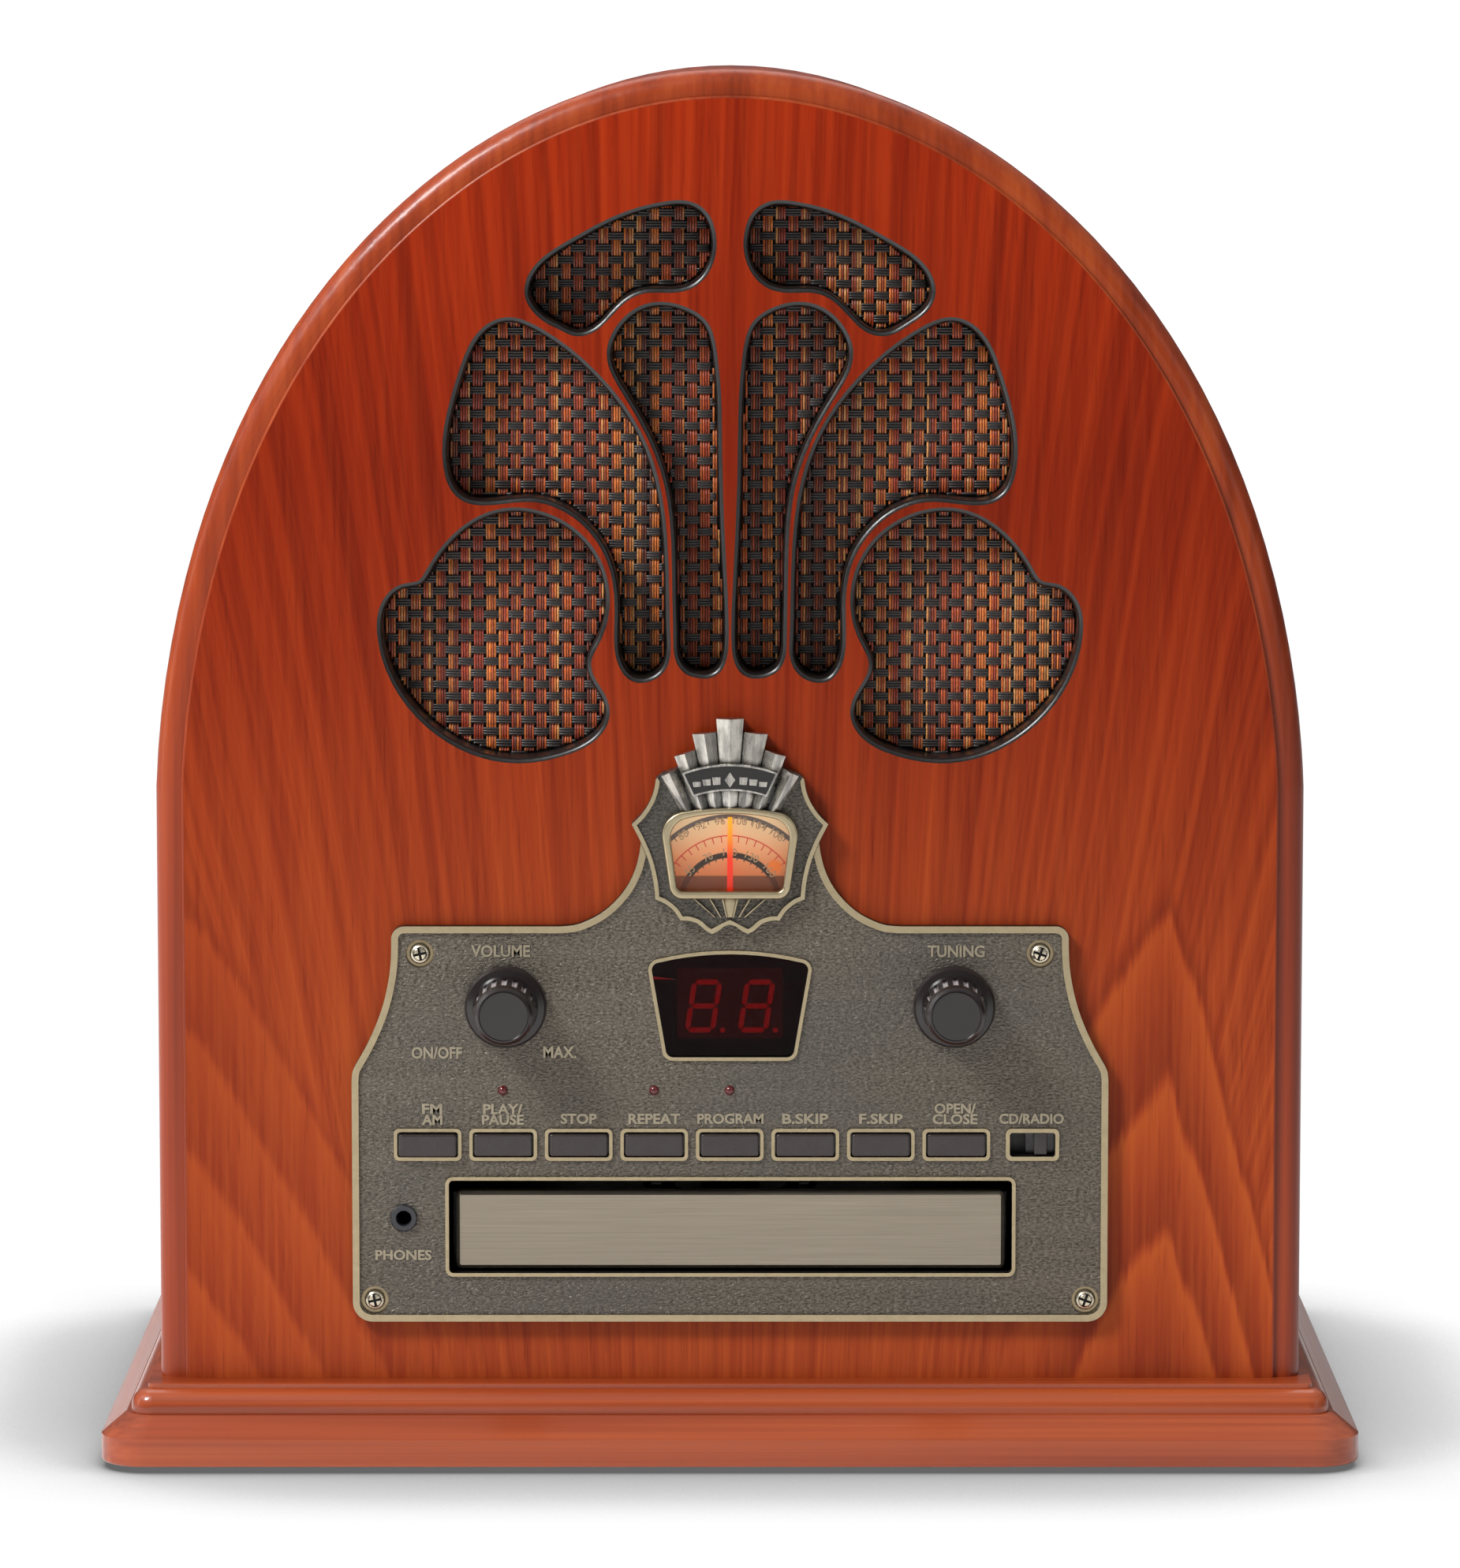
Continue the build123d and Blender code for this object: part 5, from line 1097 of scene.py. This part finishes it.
def field_mask(x, z):
    """True for points on the field and clear of its straight-sided openings."""
    def depth(outline):
        return loop_depth(x, z, np.array(outline) / 1000.0)

    keep = depth(mirrored(PLATE_HALF)) > 0.0010
    keep &= depth(mirrored(SHIELD_HALF)) < 0.0006
    keep &= depth(DISPLAY_OUTLINE) < TUCK
    for slot_x, slot_z, half_width, half_height in PLATE_SLOTS:
        keep &= np.maximum(np.abs(x - slot_x) - half_width,
                           np.abs(z - slot_z) - half_height) > -TUCK
    return keep


def fit_round_holes(x, z, keep):
    """Drops points inside the round holes and moves those by a rim onto it."""
    reach = GRAIN_X * 0.55
    for hole_x, hole_z, radius in PLATE_HOLES:
        hole_x, hole_z, radius = hole_x / 1000, hole_z / 1000, radius / 1000
        distance = np.hypot(x - hole_x, z - hole_z)
        outside = distance > radius - reach
        keep = keep & outside
        by_rim = outside & (distance < radius + reach)
        stretch = np.where(by_rim, (radius + 0.00002) / np.maximum(distance, 1e-9), 1.0)
        x = hole_x + (x - hole_x) * stretch
        z = hole_z + (z - hole_z) * stretch
    return x, z, keep


def grain_height(x, z):
    warp = mnoise.noise(Vector((x * 420, 0.0, z * 500)))
    return 0.5 + 0.5 * mnoise.noise(Vector((x * 950 + 1.4 * warp, 0.0, z * 1900 + 1.2 * warp)))


def plate_leather_grain():
    """Thin relief skin over the plate's field, cut round every opening."""
    columns = np.arange(-0.0912, 0.0912, GRAIN_X)
    rows = np.arange(0.0345, 0.1545, GRAIN_Z)
    grid_x, grid_z = np.meshgrid(columns, rows)
    x, z = grid_x.ravel(), grid_z.ravel()
    x, z, keep = fit_round_holes(x, z, field_mask(x, z))
    index = np.full(len(x), -1)
    verts = []
    for i in np.nonzero(keep)[0]:
        index[i] = len(verts)
        verts.append((x[i], FIELD_Y - 0.00003 - 0.00013 * grain_height(x[i], z[i]), z[i]))
    # a face for each grid cell with all four corners kept
    index = index.reshape(len(rows), len(columns))
    cells = np.stack([index[:-1, :-1], index[:-1, 1:], index[1:, 1:], index[1:, :-1]], 2)
    faces = cells[(cells >= 0).all(axis=2)].tolist()
    add_skin("plate_leather_grain", verts, faces, "pewter_leather")


plate_leather_grain()


# ------------------------------------------------------------- the studio
def grey(level):
    return (level, level, level, 1)


def studio_floor():
    """White floor; the camera sees it as plain white with a soft contact shade."""
    mat = Mat("studio_floor")
    color = mat.mix(mat.grain((3, 3, 3)), grey(0.90), grey(0.93))
    lit = mat.principled(color, 0.7, spec=0.1)
    shade = mat.ramp(mat.occlusion(0.088, samples=16), [
        (0.28, grey(0.13)), (0.50, grey(0.30)), (0.76, grey(0.62)), (0.955, grey(1.02))], "EASE")
    plain = mat.value("ShaderNodeEmission", {"Color": shade, "Strength": 1.0})
    seen = mat.value("ShaderNodeLightPath", {}, output="Is Camera Ray")
    mat.surface(mat.mix_shader(seen, lit, plain))

    half = 6
    mesh = bpy.data.meshes.new("floor")
    mesh.from_pydata([(-half, -half, 0), (half, -half, 0), (half, half, 0), (-half, half, 0)],
                     [], [(0, 1, 2, 3)])
    mesh.materials.append(MATERIALS["studio_floor"])
    floor = bpy.data.objects.new("floor", mesh)
    bpy.context.scene.collection.objects.link(floor)


def studio_world():
    """White to the camera; otherwise a glow from above, a little more from the left."""
    world = bpy.data.worlds.new("studio")
    bpy.context.scene.world = world
    world.use_nodes = True
    sky = Nodes(world.node_tree, "ShaderNodeOutputWorld")
    x, _, z = sky.xyz(Value(sky, sky.coordinates.outputs["Generated"]))
    above = z.fade(0.20, 0.85, first=0.09, last=0.62, smooth=False)
    left = x.fade(0.1, -0.9, smooth=False)
    glow = sky.value("ShaderNodeBackground",
                     {"Color": (1.0, 0.985, 0.97, 1), "Strength": left.times_plus(0.12, above)})
    white = sky.value("ShaderNodeBackground", {"Color": (1, 1, 1, 1), "Strength": 1.1})
    seen = sky.value("ShaderNodeLightPath", {}, output="Is Camera Ray")
    sky.surface(sky.mix_shader(seen, glow, white))


def area_light(name, place, target, size, power):
    light = bpy.data.lights.new(name, "AREA")
    light.shape = "RECTANGLE"
    light.size, light.size_y = size
    light.energy = power
    light.color = (1, 1, 1)
    ob = bpy.data.objects.new(name, light)
    ob.location = place
    ob.rotation_euler = (Vector(target) - Vector(place)).to_track_quat("-Z", "Y").to_euler()
    bpy.context.scene.collection.objects.link(ob)


def studio_camera():
    """Long lens in front of the radio, looking slightly down."""
    lens = bpy.data.cameras.new("camera")
    lens.sensor_fit = "AUTO"
    lens.sensor_width = 36.0
    lens.lens = 162.07
    lens.clip_start = 0.05
    lens.clip_end = 30
    camera = bpy.data.objects.new("camera", lens)
    camera.location = (0, -1.77777, 0.35758)
    camera.rotation_euler = (math.radians(83.5), 0, 0)
    bpy.context.scene.collection.objects.link(camera)
    bpy.context.scene.camera = camera


studio_floor()
studio_world()
area_light("key_left", place=(-1.15, -1.05, 1.52), target=(0, 0, 0.17), size=(0.50, 0.50), power=47)
area_light("fill_right", place=(1.5, -1.2, 0.7), target=(0, 0, 0.16), size=(0.9, 0.9), power=2)
area_light("top_soft", place=(0.0, 0.75, 1.6), target=(0, 0, 0.2), size=(1.5, 1.0), power=9)
area_light("strip_left", place=(-1.2, -0.15, 0.6), target=(0, 0, 0.22), size=(0.3, 1.1), power=2.2)
view = bpy.context.scene.view_settings
view.view_transform = "Standard"
view.look = "None"
view.exposure = 0.0
view.gamma = 1.0
studio_camera()
